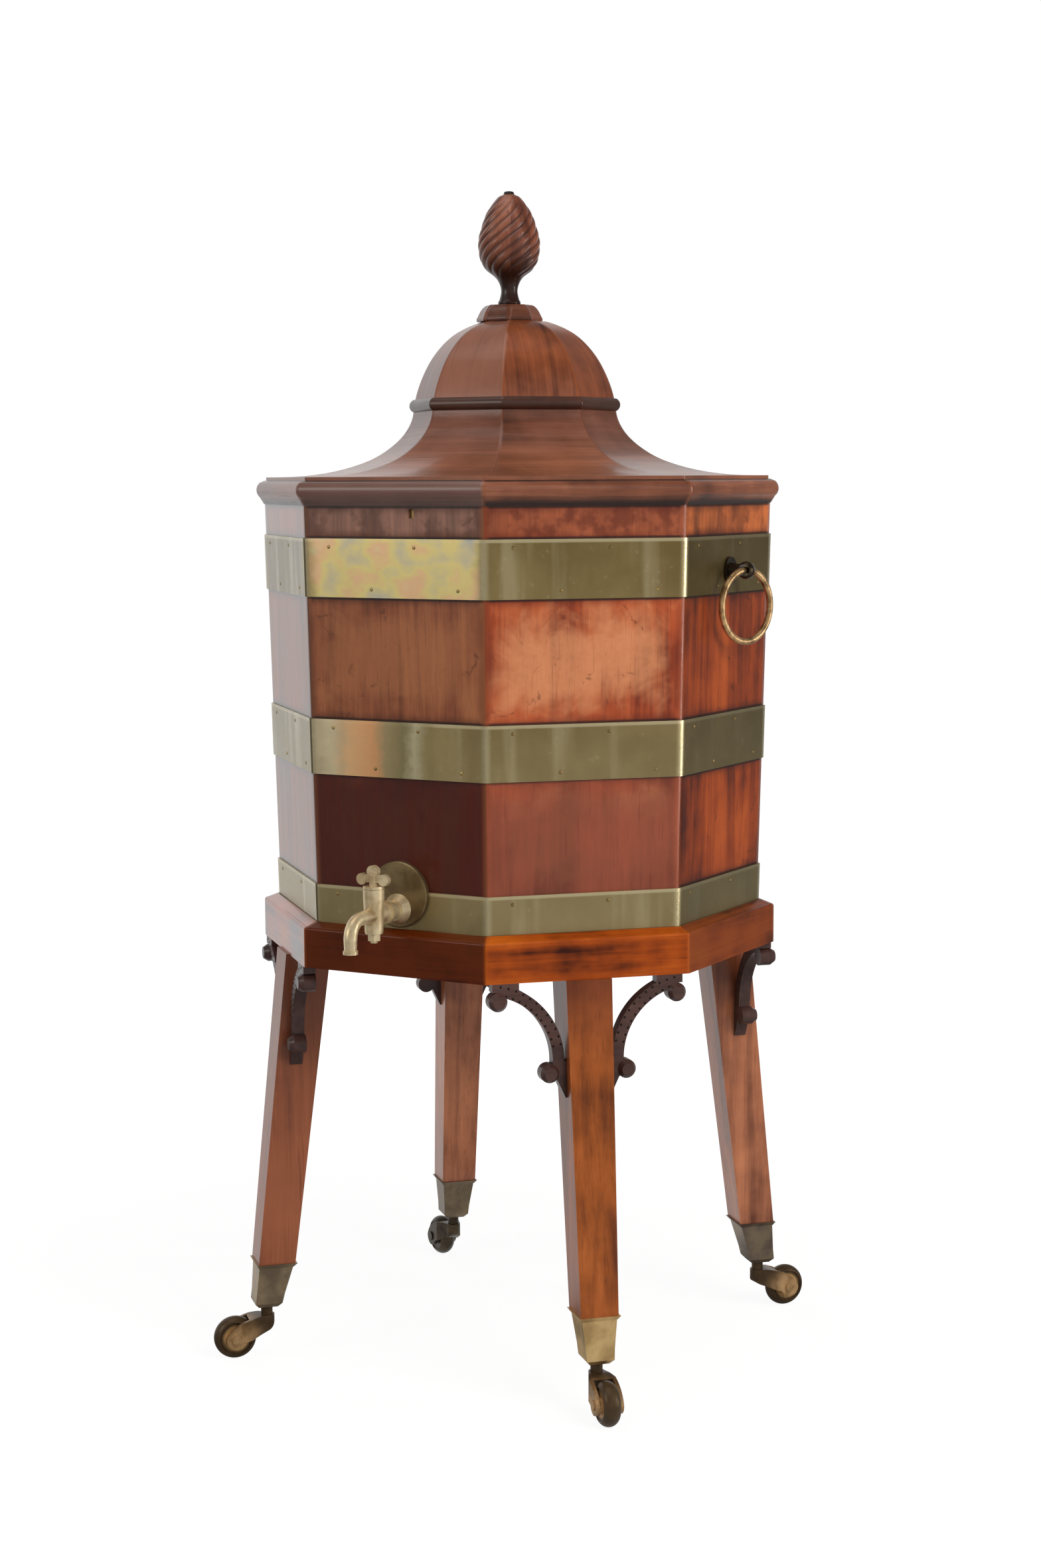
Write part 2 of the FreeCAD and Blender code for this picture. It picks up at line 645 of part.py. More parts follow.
def lid_leaf(middle):
    """Moving leaf with the middle knuckle."""
    clear = knuckle(middle, LEAF_LONG + 2, KNUCKLE_R + KNUCKLE_GAP)
    clear = clear.cut(knuckle(middle, KNUCKLE_MID, KNUCKLE_R + 1))
    flat = leaf(middle, TUB_TOP + HINGE_PLAY).cut(clear)
    barrel = knuckle(middle, KNUCKLE_MID, KNUCKLE_R)
    return flat.fuse(barrel).removeSplitter().cut(knuckle(middle, LEAF_LONG + 2, PIN_R + RUNNING))


def hinge_pin(middle):
    """Hinge pin, flush with the outer knuckles."""
    return knuckle(middle, LEAF_LONG, PIN_R)


def hinge_pair(piece):
    """The same piece for both hinges."""
    return Part.Compound([piece(x) for x in (-HINGE_X, HINGE_X)])


# ---------------------------------------------------------------- lock
def lock_body():
    """Outside of the lock: its case and the selvedge let into the panel's top edge."""
    case = block(about(LOCK_X, CASE_HALF), (LOCK_FRONT, LOCK_BACK), (LOCK_LOW, LOCK_TOP))
    selvedge = block(about(LOCK_X, SELVEDGE_HALF), (LOCK_FRONT, LOCK_BACK), (LOCK_TOP, TUB_TOP))
    return case.fuse(selvedge).removeSplitter()


def lock_case():
    """Lock with a channel for the bolt and a well for the staple."""
    low, high = BOLT
    span = (low - BOLT_PLAY, high + BOLT_PLAY)
    channel = block(about(LOCK_X, CHANNEL_HALF), about(LOCK_Y, BOLT_HALF + BOLT_PLAY), span)
    thick, wide = STAPLE_HALF
    well = block(about(STAPLE_X, thick + STAPLE_PLAY + 0.3), about(LOCK_Y, wide + STAPLE_PLAY),
                 (STAPLE_LOW - 1.5, TUB_TOP + 1))
    return lock_body().cut([channel, well])


def lock_bolt():
    """Bolt, drawn back clear of the staple."""
    return block((STAPLE_X + BOLT_BACK, LOCK_X + CHANNEL_HALF - 2), about(LOCK_Y, BOLT_HALF), BOLT)


def link_plate_bed():
    """Recess for the link plate under the lid's rim."""
    wide, deep = LINK_HALF
    return block(about(STAPLE_X, wide), about(LOCK_Y, deep), (TUB_TOP - 1, TUB_TOP + LINK_THICK))


def link_plate():
    """Plate on the lid with the staple that drops into the lock."""
    low, high = TUB_TOP + HINGE_PLAY, TUB_TOP + LINK_THICK
    flat = block(about(STAPLE_X, LINK_HALF[0]), about(LOCK_Y, LINK_HALF[1]), (low, high))
    thick, wide = STAPLE_HALF
    staple = block(about(STAPLE_X, thick), about(LOCK_Y, wide), (STAPLE_LOW, high - 1))
    open_half, open_low, open_high = STAPLE_WINDOW
    window = block(about(STAPLE_X, thick + 1), about(LOCK_Y, open_half), (open_low, open_high))
    return flat.fuse(staple).removeSplitter().cut(window)


# ---------------------------------------------------------------- tap
def tap_rod(radius, start, end):
    """A round bar on the axis of the tap's shank."""
    return rod(radius, Vector(0, start, TAP_Z), Vector(0, end, TAP_Z))


def plug_rod(radius, low, high):
    """A round bar on the axis of the plug."""
    return rod(radius, Vector(0, PLUG_Y, low), Vector(0, PLUG_Y, high))


def tap_plate():
    """Round boss plate, scribed over the bottom band."""
    disc = rod(PLATE_R, Vector(0, PLATE_BACK, PLATE_Z), Vector(0, PLATE_FRONT, PLATE_Z))
    rim = [edge for edge in disc.Edges if edge.BoundBox.YMax < PLATE_FRONT + 0.1]
    disc = disc.makeChamfer(1.0, rim)
    core = tub_frustum(TUB_BOTTOM, TUB_TOP, BAND_THICK)
    over_band = tub_frustum(TUB_BOTTOM, BANDS["band_bottom"][1], 0)
    return disc.cut([core, over_band, tap_hole()])


def plug_radius(height):
    """Radius of the tapered plug bore."""
    share = (height - PLUG_LOW[0]) / (PLUG_TOP[0] - PLUG_LOW[0])
    return PLUG_LOW[1] + share * (PLUG_TOP[1] - PLUG_LOW[1])


def plug_cone(low, high, grow):
    """A length of the plug's taper."""
    base = Vector(0, PLUG_Y, low)
    return Part.makeCone(plug_radius(low) + grow, plug_radius(high) + grow, high - low, base, UP)


def elbow(radius):
    """Quarter bend of the spout, from level to straight down."""
    start = Vector(0, SPOUT_ELBOW, TAP_Z)
    ring = Part.Face(Part.Wire(Part.makeCircle(radius, start, Vector(0, 1, 0))))
    return ring.revolve(start - UP * SPOUT_BEND, Vector(1, 0, 0), 90)


def nozzle(radius, tip_radius, high, low):
    """Straight end of the spout between two heights."""
    base = Vector(0, SPOUT_ELBOW - SPOUT_BEND, high)
    if radius == tip_radius:
        return Part.makeCylinder(radius, high - low, base, -UP)
    return Part.makeCone(radius, tip_radius, high - low, base, -UP)


def waterway():
    """The bore that the water takes, from the tub round to the mouth of the spout."""
    return [tap_rod(WATERWAY_R, FACE_IN, SPOUT_ELBOW), elbow(WATERWAY_R),
            nozzle(WATERWAY_R, WATERWAY_R, TAP_Z - SPOUT_BEND, SPOUT_TIP - 1)]


def housing_barrel():
    """Outside of the plug's housing."""
    (low, _), (high, _) = PLUG_LOW, PLUG_TOP
    return Part.makeCone(*HOUSING_R, high - low, Vector(0, PLUG_Y, low), UP)


def tap_shank():
    """Shank, collar and turned barrel of the tap, brazed to the plug's housing."""
    wide, narrow, long = COLLAR
    collar = Part.makeCone(wide, narrow, long, Vector(0, PLATE_FRONT, TAP_Z), Vector(0, -1, 0))
    outside = [tap_rod(SHANK_R, SHANK_END, PLUG_Y), collar, tap_rod(NECK_TUBE_R, PLATE_FRONT, PLUG_Y)]
    return fused(outside + [tap_rod(*TAP_RING)]).cut([housing_barrel()] + waterway())


def tap_housing():
    """Barrel bored to the plug's taper, with a port in front and behind."""
    (low, _), (high, _) = PLUG_LOW, PLUG_TOP
    return housing_barrel().cut(waterway() + [plug_cone(low - 1, high + 1, 0)])


def tap_spout():
    """Spout, bent downward and brazed to the housing."""
    root, bend, mouth = SPOUT_R
    lip, lip_high = SPOUT_LIP
    outside = [Part.makeCone(root, bend, PLUG_Y - SPOUT_ELBOW, Vector(0, PLUG_Y, TAP_Z), Vector(0, -1, 0)),
               elbow(bend), nozzle(bend, mouth, TAP_Z - SPOUT_BEND, SPOUT_TIP),
               nozzle(lip, lip, SPOUT_TIP + lip_high, SPOUT_TIP)]
    return fused(outside).cut([housing_barrel()] + waterway())


def tap_back_nut():
    """Nut that draws the tap up against the liner."""
    radius, thick = BACK_NUT
    face = -tub_apothem(TAP_Z - radius, INNER + LINER_THICK)
    clear = tub_frustum(TUB_BOTTOM, LINER_TOP, INNER + LINER_THICK)
    nut = hexagonal(radius, Vector(0, face, TAP_Z), Vector(0, face + thick, TAP_Z))
    return nut.common(clear).cut(tap_hole())


def tap_plug():
    """Tapered plug with its cross port, a flange and a three-lobed grip."""
    stud, stud_low, stud_high = PLUG_STUD
    flange, thick = PLUG_FLANGE
    seat = PLUG_TOP[0] + 0.3
    cone = plug_cone(stud_high, seat, -RUNNING)
    across_y = about(PLUG_Y, GRIP_HALF)
    grip = [rod(radius, Vector(x, across_y[0], z), Vector(x, across_y[1], z)) for x, z, radius in GRIP_LOBES]
    grip.append(block((GRIP_LOBES[0][0], GRIP_LOBES[1][0]), about(PLUG_Y, GRIP_HALF - 0.4), GRIP_BAR))
    stem = plug_rod(PLUG_STEM_R, seat, GRIP_BAR[1])
    turned_parts = [cone, plug_rod(flange, seat, seat + thick), stem, plug_rod(stud, stud_low, stud_high)]
    turning = fused(turned_parts + grip)
    return turning.cut(rod(WATERWAY_R, Vector(-flange, PLUG_Y, TAP_Z), Vector(flange, PLUG_Y, TAP_Z)))


def tap_plug_nut():
    """Nut and washer that hold the plug down."""
    wide, under, top = WASHER
    stud, low, high = PLUG_STUD
    nut = hexagonal(NUT_R, Vector(0, PLUG_Y, NUT_LOW), Vector(0, PLUG_Y, under))
    return plug_rod(wide, under, top).fuse(nut).removeSplitter().cut(plug_rod(stud, low, high))


# ---------------------------------------------------------------- carrying handles, built on the +X side
def ring_pivot():
    """Where the ring hangs in the ball of its post."""
    return Vector(tub_apothem(POST_Z) + RING_OUT, 0, POST_Z)


def post_rod(radius, start, end):
    """A round bar on the post's axis, measured out from the band."""
    face = tub_apothem(POST_Z)
    return rod(radius, Vector(face + start, 0, POST_Z), Vector(face + end, 0, POST_Z))


def post_shank():
    """Shank of a handle post, through the band and into the panel."""
    radius, deep = POST_SHANK
    return post_rod(radius, -deep, ROSETTE[1])


def handle_post():
    """Rosette, neck and a pierced ball."""
    pivot = ring_pivot()
    radius, proud = ROSETTE
    rosette = post_rod(radius, -proud, proud).cut(tub_frustum(TUB_BOTTOM, TUB_TOP, 0))
    foot, outward = RING_OUT - proud / 2, Vector(1, 0, 0)
    neck = Part.makeCone(*POST_NECK, foot - POST_BALL / 2, pivot - outward * foot, outward)
    ball = Part.makeSphere(POST_BALL, pivot)
    eye = rod(EYE_R, pivot - Vector(0, POST_BALL, 0), pivot + Vector(0, POST_BALL, 0))
    return fused([rosette, neck, ball, post_shank()]).cut(eye)


def handle_ring():
    """Loose ring, hanging a little turned in its eye."""
    pivot = ring_pivot()
    twist = math.radians(RING_TWIST)
    facing = Vector(math.cos(twist), -math.sin(twist), 0)
    return Part.makeTorus(RING_R, RING_WIRE, pivot - UP * RING_R, facing)


# ---------------------------------------------------------------- the whole object
def stand_nodes():
    """The stand: rails, legs, scrolls and casters."""
    nodes = {"apron_rails": apron_rails()}
    fixed = {"leg": leg(), "scrolls": scroll_pair(), "caster_socket": socket()}
    swivelling = {"caster_horn": horn(), "caster_axle": axle(), "caster_wheel": wheel()}
    for corner, azimuth in LEG_AZIMUTHS.items():
        for name, shape in fixed.items():
            nodes[f"{name}_{corner}"] = turned(shape, azimuth)
        for name, shape in swivelling.items():
            nodes[f"{name}_{corner}"] = turned(swivelled(shape, CASTER_TURN[corner]), azimuth)
    return nodes


def tub_nodes():
    """The tub: eight panels, bottom board, lining and bands."""
    sides = Part.Compound([side_panel(0), side_panel(180)])
    nodes = {"panel_front": front_panel(), "panel_back": back_panel(), "panel_sides": sides}
    for corner, azimuth in LEG_AZIMUTHS.items():
        nodes[f"panel_{corner}"] = turned(panel(), azimuth)
    nodes.update({"tub_board": tub_board(), "liner": liner()})
    nodes.update({name: band(name) for name in BANDS})
    return nodes


def hardware_nodes():
    """Hinges, lock, tap and carrying handles."""
    nodes = {"tub_hinge_leaves": hinge_pair(tub_leaf), "lid_hinge_leaves": hinge_pair(lid_leaf)}
    nodes["hinge_pins"] = hinge_pair(hinge_pin)
    nodes.update({"lock_case": lock_case(), "lock_bolt": lock_bolt(), "link_plate": link_plate()})
    tap = (tap_plate, tap_shank, tap_housing, tap_spout, tap_back_nut, tap_plug, tap_plug_nut)
    nodes.update({piece.__name__: piece() for piece in tap})
    nodes["handle_posts"] = Part.Compound([handle_post(), turned(handle_post(), 180)])
    nodes.update({"handle_ring_right": handle_ring(), "handle_ring_left": turned(handle_ring(), 180)})
    return nodes


def lid_nodes():
    """The lid from its board up to the finial."""
    pieces = (lid_board, lid_rim, lid_skirt, lid_bead, lid_dome, lid_cap, finial)
    return {piece.__name__: piece() for piece in pieces}


def build():
    """Every node by name."""
    return {**stand_nodes(), **tub_nodes(), **hardware_nodes(), **lid_nodes()}


def main():
    """Write one STEP file for each node."""
    os.makedirs("parts", exist_ok=True)
    for name, shape in build().items():
        shape.exportStep(f"parts/{name}.step")
        volume = shape.Volume / 1000
        print(f"{name:26s} solids {len(shape.Solids):2d}  volume {volume:9.2f} cm3  valid {shape.isValid()}")


main()
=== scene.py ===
"""Looks of an octagonal brass-bound cellarette on a castered stand.

Metres, +Z up, the tap side at -Y.  model.glb brings every wooden and brass piece in its
true size.  This script adds the studio and the finishes, and the small work that is done
last: the carved finial, the pins of the bands and the punched marks on the scrolls.
"""
import logging
import math
from dataclasses import dataclass, replace
from enum import Enum
from typing import Any, Sequence, Union

import bmesh
import bpy
import numpy as np
from mathutils import Matrix, Vector


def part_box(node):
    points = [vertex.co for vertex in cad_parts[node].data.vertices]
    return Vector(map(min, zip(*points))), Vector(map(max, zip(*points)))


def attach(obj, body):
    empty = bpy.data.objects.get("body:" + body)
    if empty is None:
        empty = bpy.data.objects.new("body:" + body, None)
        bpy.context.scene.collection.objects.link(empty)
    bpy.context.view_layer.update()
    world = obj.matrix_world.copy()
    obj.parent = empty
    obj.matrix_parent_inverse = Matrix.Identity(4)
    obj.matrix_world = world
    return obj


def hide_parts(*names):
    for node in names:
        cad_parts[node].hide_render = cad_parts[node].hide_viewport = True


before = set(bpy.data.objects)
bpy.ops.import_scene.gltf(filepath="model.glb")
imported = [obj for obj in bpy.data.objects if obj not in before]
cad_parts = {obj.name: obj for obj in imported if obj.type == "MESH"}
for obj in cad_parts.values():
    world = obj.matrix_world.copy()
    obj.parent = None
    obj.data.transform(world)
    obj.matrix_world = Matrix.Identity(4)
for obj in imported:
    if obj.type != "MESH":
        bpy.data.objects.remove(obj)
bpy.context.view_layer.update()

LOG = logging.getLogger("cellarette")
CORNERS = {"front_left": -135.0, "front_right": -45.0, "back_right": 45.0, "back_left": 135.0}
EIGHTH = math.pi / 4                # one side of the octagon, seen from its axis
PANEL_NODES = [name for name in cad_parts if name.startswith("panel_")]
TAP_NODES = [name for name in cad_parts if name.startswith("tap_") and name != "tap_plate"]

RGB = tuple[float, float, float]
Stop = tuple[float, Union[str, RGB]]        # place and colour of a ramp's stop
Key = Union[str, int]                       # name or number of a node's input or output
Inputs = dict[Key, Any]
Array = np.ndarray


def levels(node: str) -> tuple[float, float]:
    """Heights of the lowest and the highest point of a CAD node."""
    low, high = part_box(node)
    return low.z, high.z


def middle(node: str) -> Vector:
    """Middle of a CAD node's box."""
    low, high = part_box(node)
    return (low + high) / 2


BANDS = {name: levels(f"band_{name}") for name in ("bottom", "middle", "top")}
MIDDLE_FOOT, MIDDLE_LIP = BANDS["middle"]
TOP_FOOT, TOP_LIP = BANDS["top"]
RAIL_FOOT, _ = levels("apron_rails")
TUB_TOP, RIM_TOP = levels("lid_rim")
FINIAL_FOOT, _ = levels("finial")
HALF_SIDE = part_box("band_top")[1].x * math.tan(EIGHTH / 2)


def colour(code: str) -> RGB:
    """Turn a paint code into a linear colour.

    Args:
        code: six hexadecimal figures, such as "b5663f".

    Returns:
        The colour.
    """
    steps = [int(code[k:k + 2], 16) / 255 for k in (0, 2, 4)]
    linear = [s / 12.92 if s <= 0.04045 else ((s + 0.055) / 1.055) ** 2.4 for s in steps]
    return linear[0], linear[1], linear[2]


def opaque(paint: Union[str, RGB]) -> tuple[float, ...]:
    """A paint code or a linear colour, with full opacity."""
    return (*(colour(paint) if isinstance(paint, str) else paint), 1.0)


# ---------------- shader sheets
@dataclass
class Socket:
    """An output socket on which Python's arithmetic adds Math nodes."""

    sheet: "NodeSheet"
    end: bpy.types.NodeSocket

    def math(self, operation: str, *others: "Value", clamp: bool = False) -> "Socket":
        """This value and the others through one Math node."""
        return self.sheet.maths(operation, self, *others, clamp=clamp)

    def __add__(self, other: "Value") -> "Socket":
        """Sum."""
        return self.math("ADD", other)

    __radd__ = __add__

    def __mul__(self, other: "Value") -> "Socket":
        """Product."""
        return self.math("MULTIPLY", other)

    __rmul__ = __mul__

    def __sub__(self, other: "Value") -> "Socket":
        """Difference."""
        return self.math("SUBTRACT", other)

    def __rsub__(self, other: "Value") -> "Socket":
        """Difference, with this value taken away."""
        return self.sheet.maths("SUBTRACT", other, self)

    def __truediv__(self, other: "Value") -> "Socket":
        """Quotient."""
        return self.math("DIVIDE", other)

    def __abs__(self) -> "Socket":
        """Size without sign."""
        return self.math("ABSOLUTE")

    def clamped(self) -> "Socket":
        """Held between 0 and 1."""
        return self.math("ADD", 0.0, clamp=True)

    def fade(self, start: float, end: float) -> "Socket":
        """Turn the value into a share with soft ends.

        Args:
            start: where the share is 0.
            end: where it is 1; this may be the smaller.

        Returns:
            The share.
        """
        low, high = min(start, end), max(start, end)
        settings = {"interpolation_type": "SMOOTHSTEP"}
        inputs = {"Value": self, "From Min": low, "From Max": high}
        rising = self.sheet.node("MapRange", settings, inputs)
        return rising if start < end else 1 - rising


Sockets = tuple[Socket, ...]
Value = Union[Socket, float]
Paint = Union[Socket, RGB, str]     # a string is a paint code


class NodeSheet:
    """A material or a world, and the nodes on it."""

    def __init__(self, owner: Union[bpy.types.Material, bpy.types.World]) -> None:
        """Empty the owner's node tree.

        Args:
            owner: the material or the world.
        """
        owner.use_nodes = True
        self.owner = owner
        self.tree = owner.node_tree
        self.tree.nodes.clear()

    def node(self, kind: str, settings: dict[str, Any], inputs: Inputs, output: Key = 0) -> Socket:
        """Add a node of any kind.

        Args:
            kind: the node's type, without the "ShaderNode" that each begins with.
            settings: what the node is set to.
            inputs: a value, a colour or a Socket for each input.
            output: which output to give back.

        Returns:
            The chosen output.
        """
        made = self.tree.nodes.new("ShaderNode" + kind)
        for name, value in settings.items():
            setattr(made, name, value)
        for key, value in inputs.items():
            self._feed(made.inputs[key], value)
        return Socket(self, made.outputs[output])

    def _feed(self, target: bpy.types.NodeSocket, value: Any) -> None:
        """Link a Socket to an input, or set the input's own value.

        Args:
            target: the input.
            value: a Socket, a colour, a paint code, a vector or a number.
        """
        if isinstance(value, Socket):
            self.tree.links.new(value.end, target)
        elif target.type == "RGBA":
            target.default_value = opaque(value)
        else:
            target.default_value = value

    def maths(self, operation: str, *values: Value, clamp: bool = False) -> Socket:
        """One Math node on up to three values."""
        settings = {"operation": operation, "use_clamp": clamp}
        return self.node("Math", settings, dict(enumerate(values)))

    def place(self) -> Socket:
        """Object coordinates, in metres."""
        return self.node("TexCoord", {}, {}, "Object")

    def outputs(self, kind: str, inputs: Inputs, *keys: Key) -> Sockets:
        """Add a node and give back some of its outputs."""
        ends = self.node(kind, {}, inputs).end.node.outputs
        return tuple(Socket(self, ends[key]) for key in keys)

    def parts(self, vector: Socket) -> Sockets:
        """The three numbers of a vector."""
        return self.outputs("SeparateXYZ", {0: vector}, 0, 1, 2)

    def joined(self, x: Value, y: Value, z: Value) -> Socket:
        """A vector from three numbers."""
        return self.node("CombineXYZ", {}, {0: x, 1: y, 2: z})

    def stretched(self, vector: Socket, scale: RGB) -> Socket:
        """A vector scaled along each axis."""
        return self.node("Mapping", {}, {"Vector": vector, "Scale": scale})

    def noise(self, vector: Socket, scale: float, detail: float = 3.0, rough: float = 0.5,
              bend: float = 0.0) -> Socket:
        """Soft noise, about 0.5 on average."""
        inputs = {"Vector": vector, "Scale": scale, "Detail": detail, "Roughness": rough, "Distortion": bend}
        return self.node("TexNoise", {}, inputs)

    def ramp(self, value: Value, *stops: Stop) -> Socket:
        """Look up a colour.

        Args:
            value: where to look.
            stops: the ramp's stops.

        Returns:
            The colour.
        """
        found = self.node("ValToRGB", {}, {0: value})
        elements = found.end.node.color_ramp.elements
        while len(elements) < len(stops):
            elements.new(1.0)
        for element, (place, paint) in zip(elements, stops):
            element.position = place
            element.color = opaque(paint)
        return found

    def mixed(self, share: Value, first: Paint, second: Paint) -> Socket:
        """Two colours blended; a share of 1 gives the second."""
        return self.node("Mix", {"data_type": "RGBA"}, {0: share, 6: first, 7: second}, 2)

    def sum(self, first: Socket, second: Socket) -> Socket:
        """Two vectors added."""
        return self.node("VectorMath", {"operation": "ADD"}, {0: first, 1: second})

    def bump(self, height: Socket) -> Socket:
        """A normal bent by a height in metres."""
        return self.node("Bump", {}, {"Height": height, "Distance": 1.0, "Strength": 1.0})

    def rays(self) -> Sockets:
        """Whether a ray comes from the camera, from a glossy surface and through a clear one."""
        return self.outputs("LightPath", {}, "Is Camera Ray", "Is Glossy Ray", "Is Transmission Ray")

    def finish(self, inputs: Inputs) -> bpy.types.Material:
        """Close the sheet with a Principled shader, and give back the material."""
        self.close(self.node("BsdfPrincipled", {}, inputs))
        return self.owner

    def close(self, shader: Socket, kind: str = "Material") -> None:
        """Link a shader to the output of a material or a world."""
        made = self.tree.nodes.new("ShaderNodeOutput" + kind)
        self.tree.links.new(shader.end, made.inputs["Surface"])


@dataclass
class Octagon:
    """Where a point lies on an eight-sided piece, as sockets.

    The angle about the axis, folded into one side, turns the radius into a distance out
    from the axis, square to that side, and a distance along it.
    """

    out: Socket
    along: Socket
    side: Socket        # whole number, 0 on the right, and counting up anticlockwise
    height: Socket
    arris: Socket       # distance to the nearest corner of the octagon, along the side

    @classmethod
    def of(cls, sheet: NodeSheet) -> "Octagon":
        """Work out the five values.

        Args:
            sheet: the sheet that gets the nodes.

        Returns:
            The values.
        """
        x, y, z = sheet.parts(sheet.place())
        angle = sheet.maths("ARCTAN2", y, x)
        radius = sheet.maths("SQRT", x * x + y * y)
        folded = angle.math("WRAP", EIGHTH / 2, -EIGHTH / 2)
        out = radius * folded.math("COSINE")
        along = radius * folded.math("SINE")
        arris = out * math.tan(EIGHTH / 2) - abs(along)
        return cls(out, along, (angle - folded) / EIGHTH, z, arris)

    def on(self, side: int) -> Socket:
        """1 on one side, 0 on the others; the tap side is -2."""
        return abs(self.side - side).fade(0.6, 0.4)

    def seam(self) -> Socket:
        """1 on the dark line at the left-hand end of the tap side, 0 elsewhere."""
        beside = (self.on(-3) + self.on(-2)) * (self.along * (self.side + 2.5)).fade(0.0, -0.01)
        return self.arris.fade(0.0022, 0.0008) * beside

    def rounding(self, width: float) -> Socket:
        """How far a corner, rounded over a width in metres, lies under the sharp one."""
        left = (1 - self.arris / width).clamped()       # squared, so that the slope grows evenly
        return left * left * (width * math.tan(EIGHTH / 2) / 2)


class Grain(Enum):
    """Which way the fibres of a wooden piece run."""

    UPRIGHT = "up the piece"
    ALONG = "along each side of the octagon"
    INWARD = "from the edge towards the axis"
    LEVEL = "across a level board, from side to side"


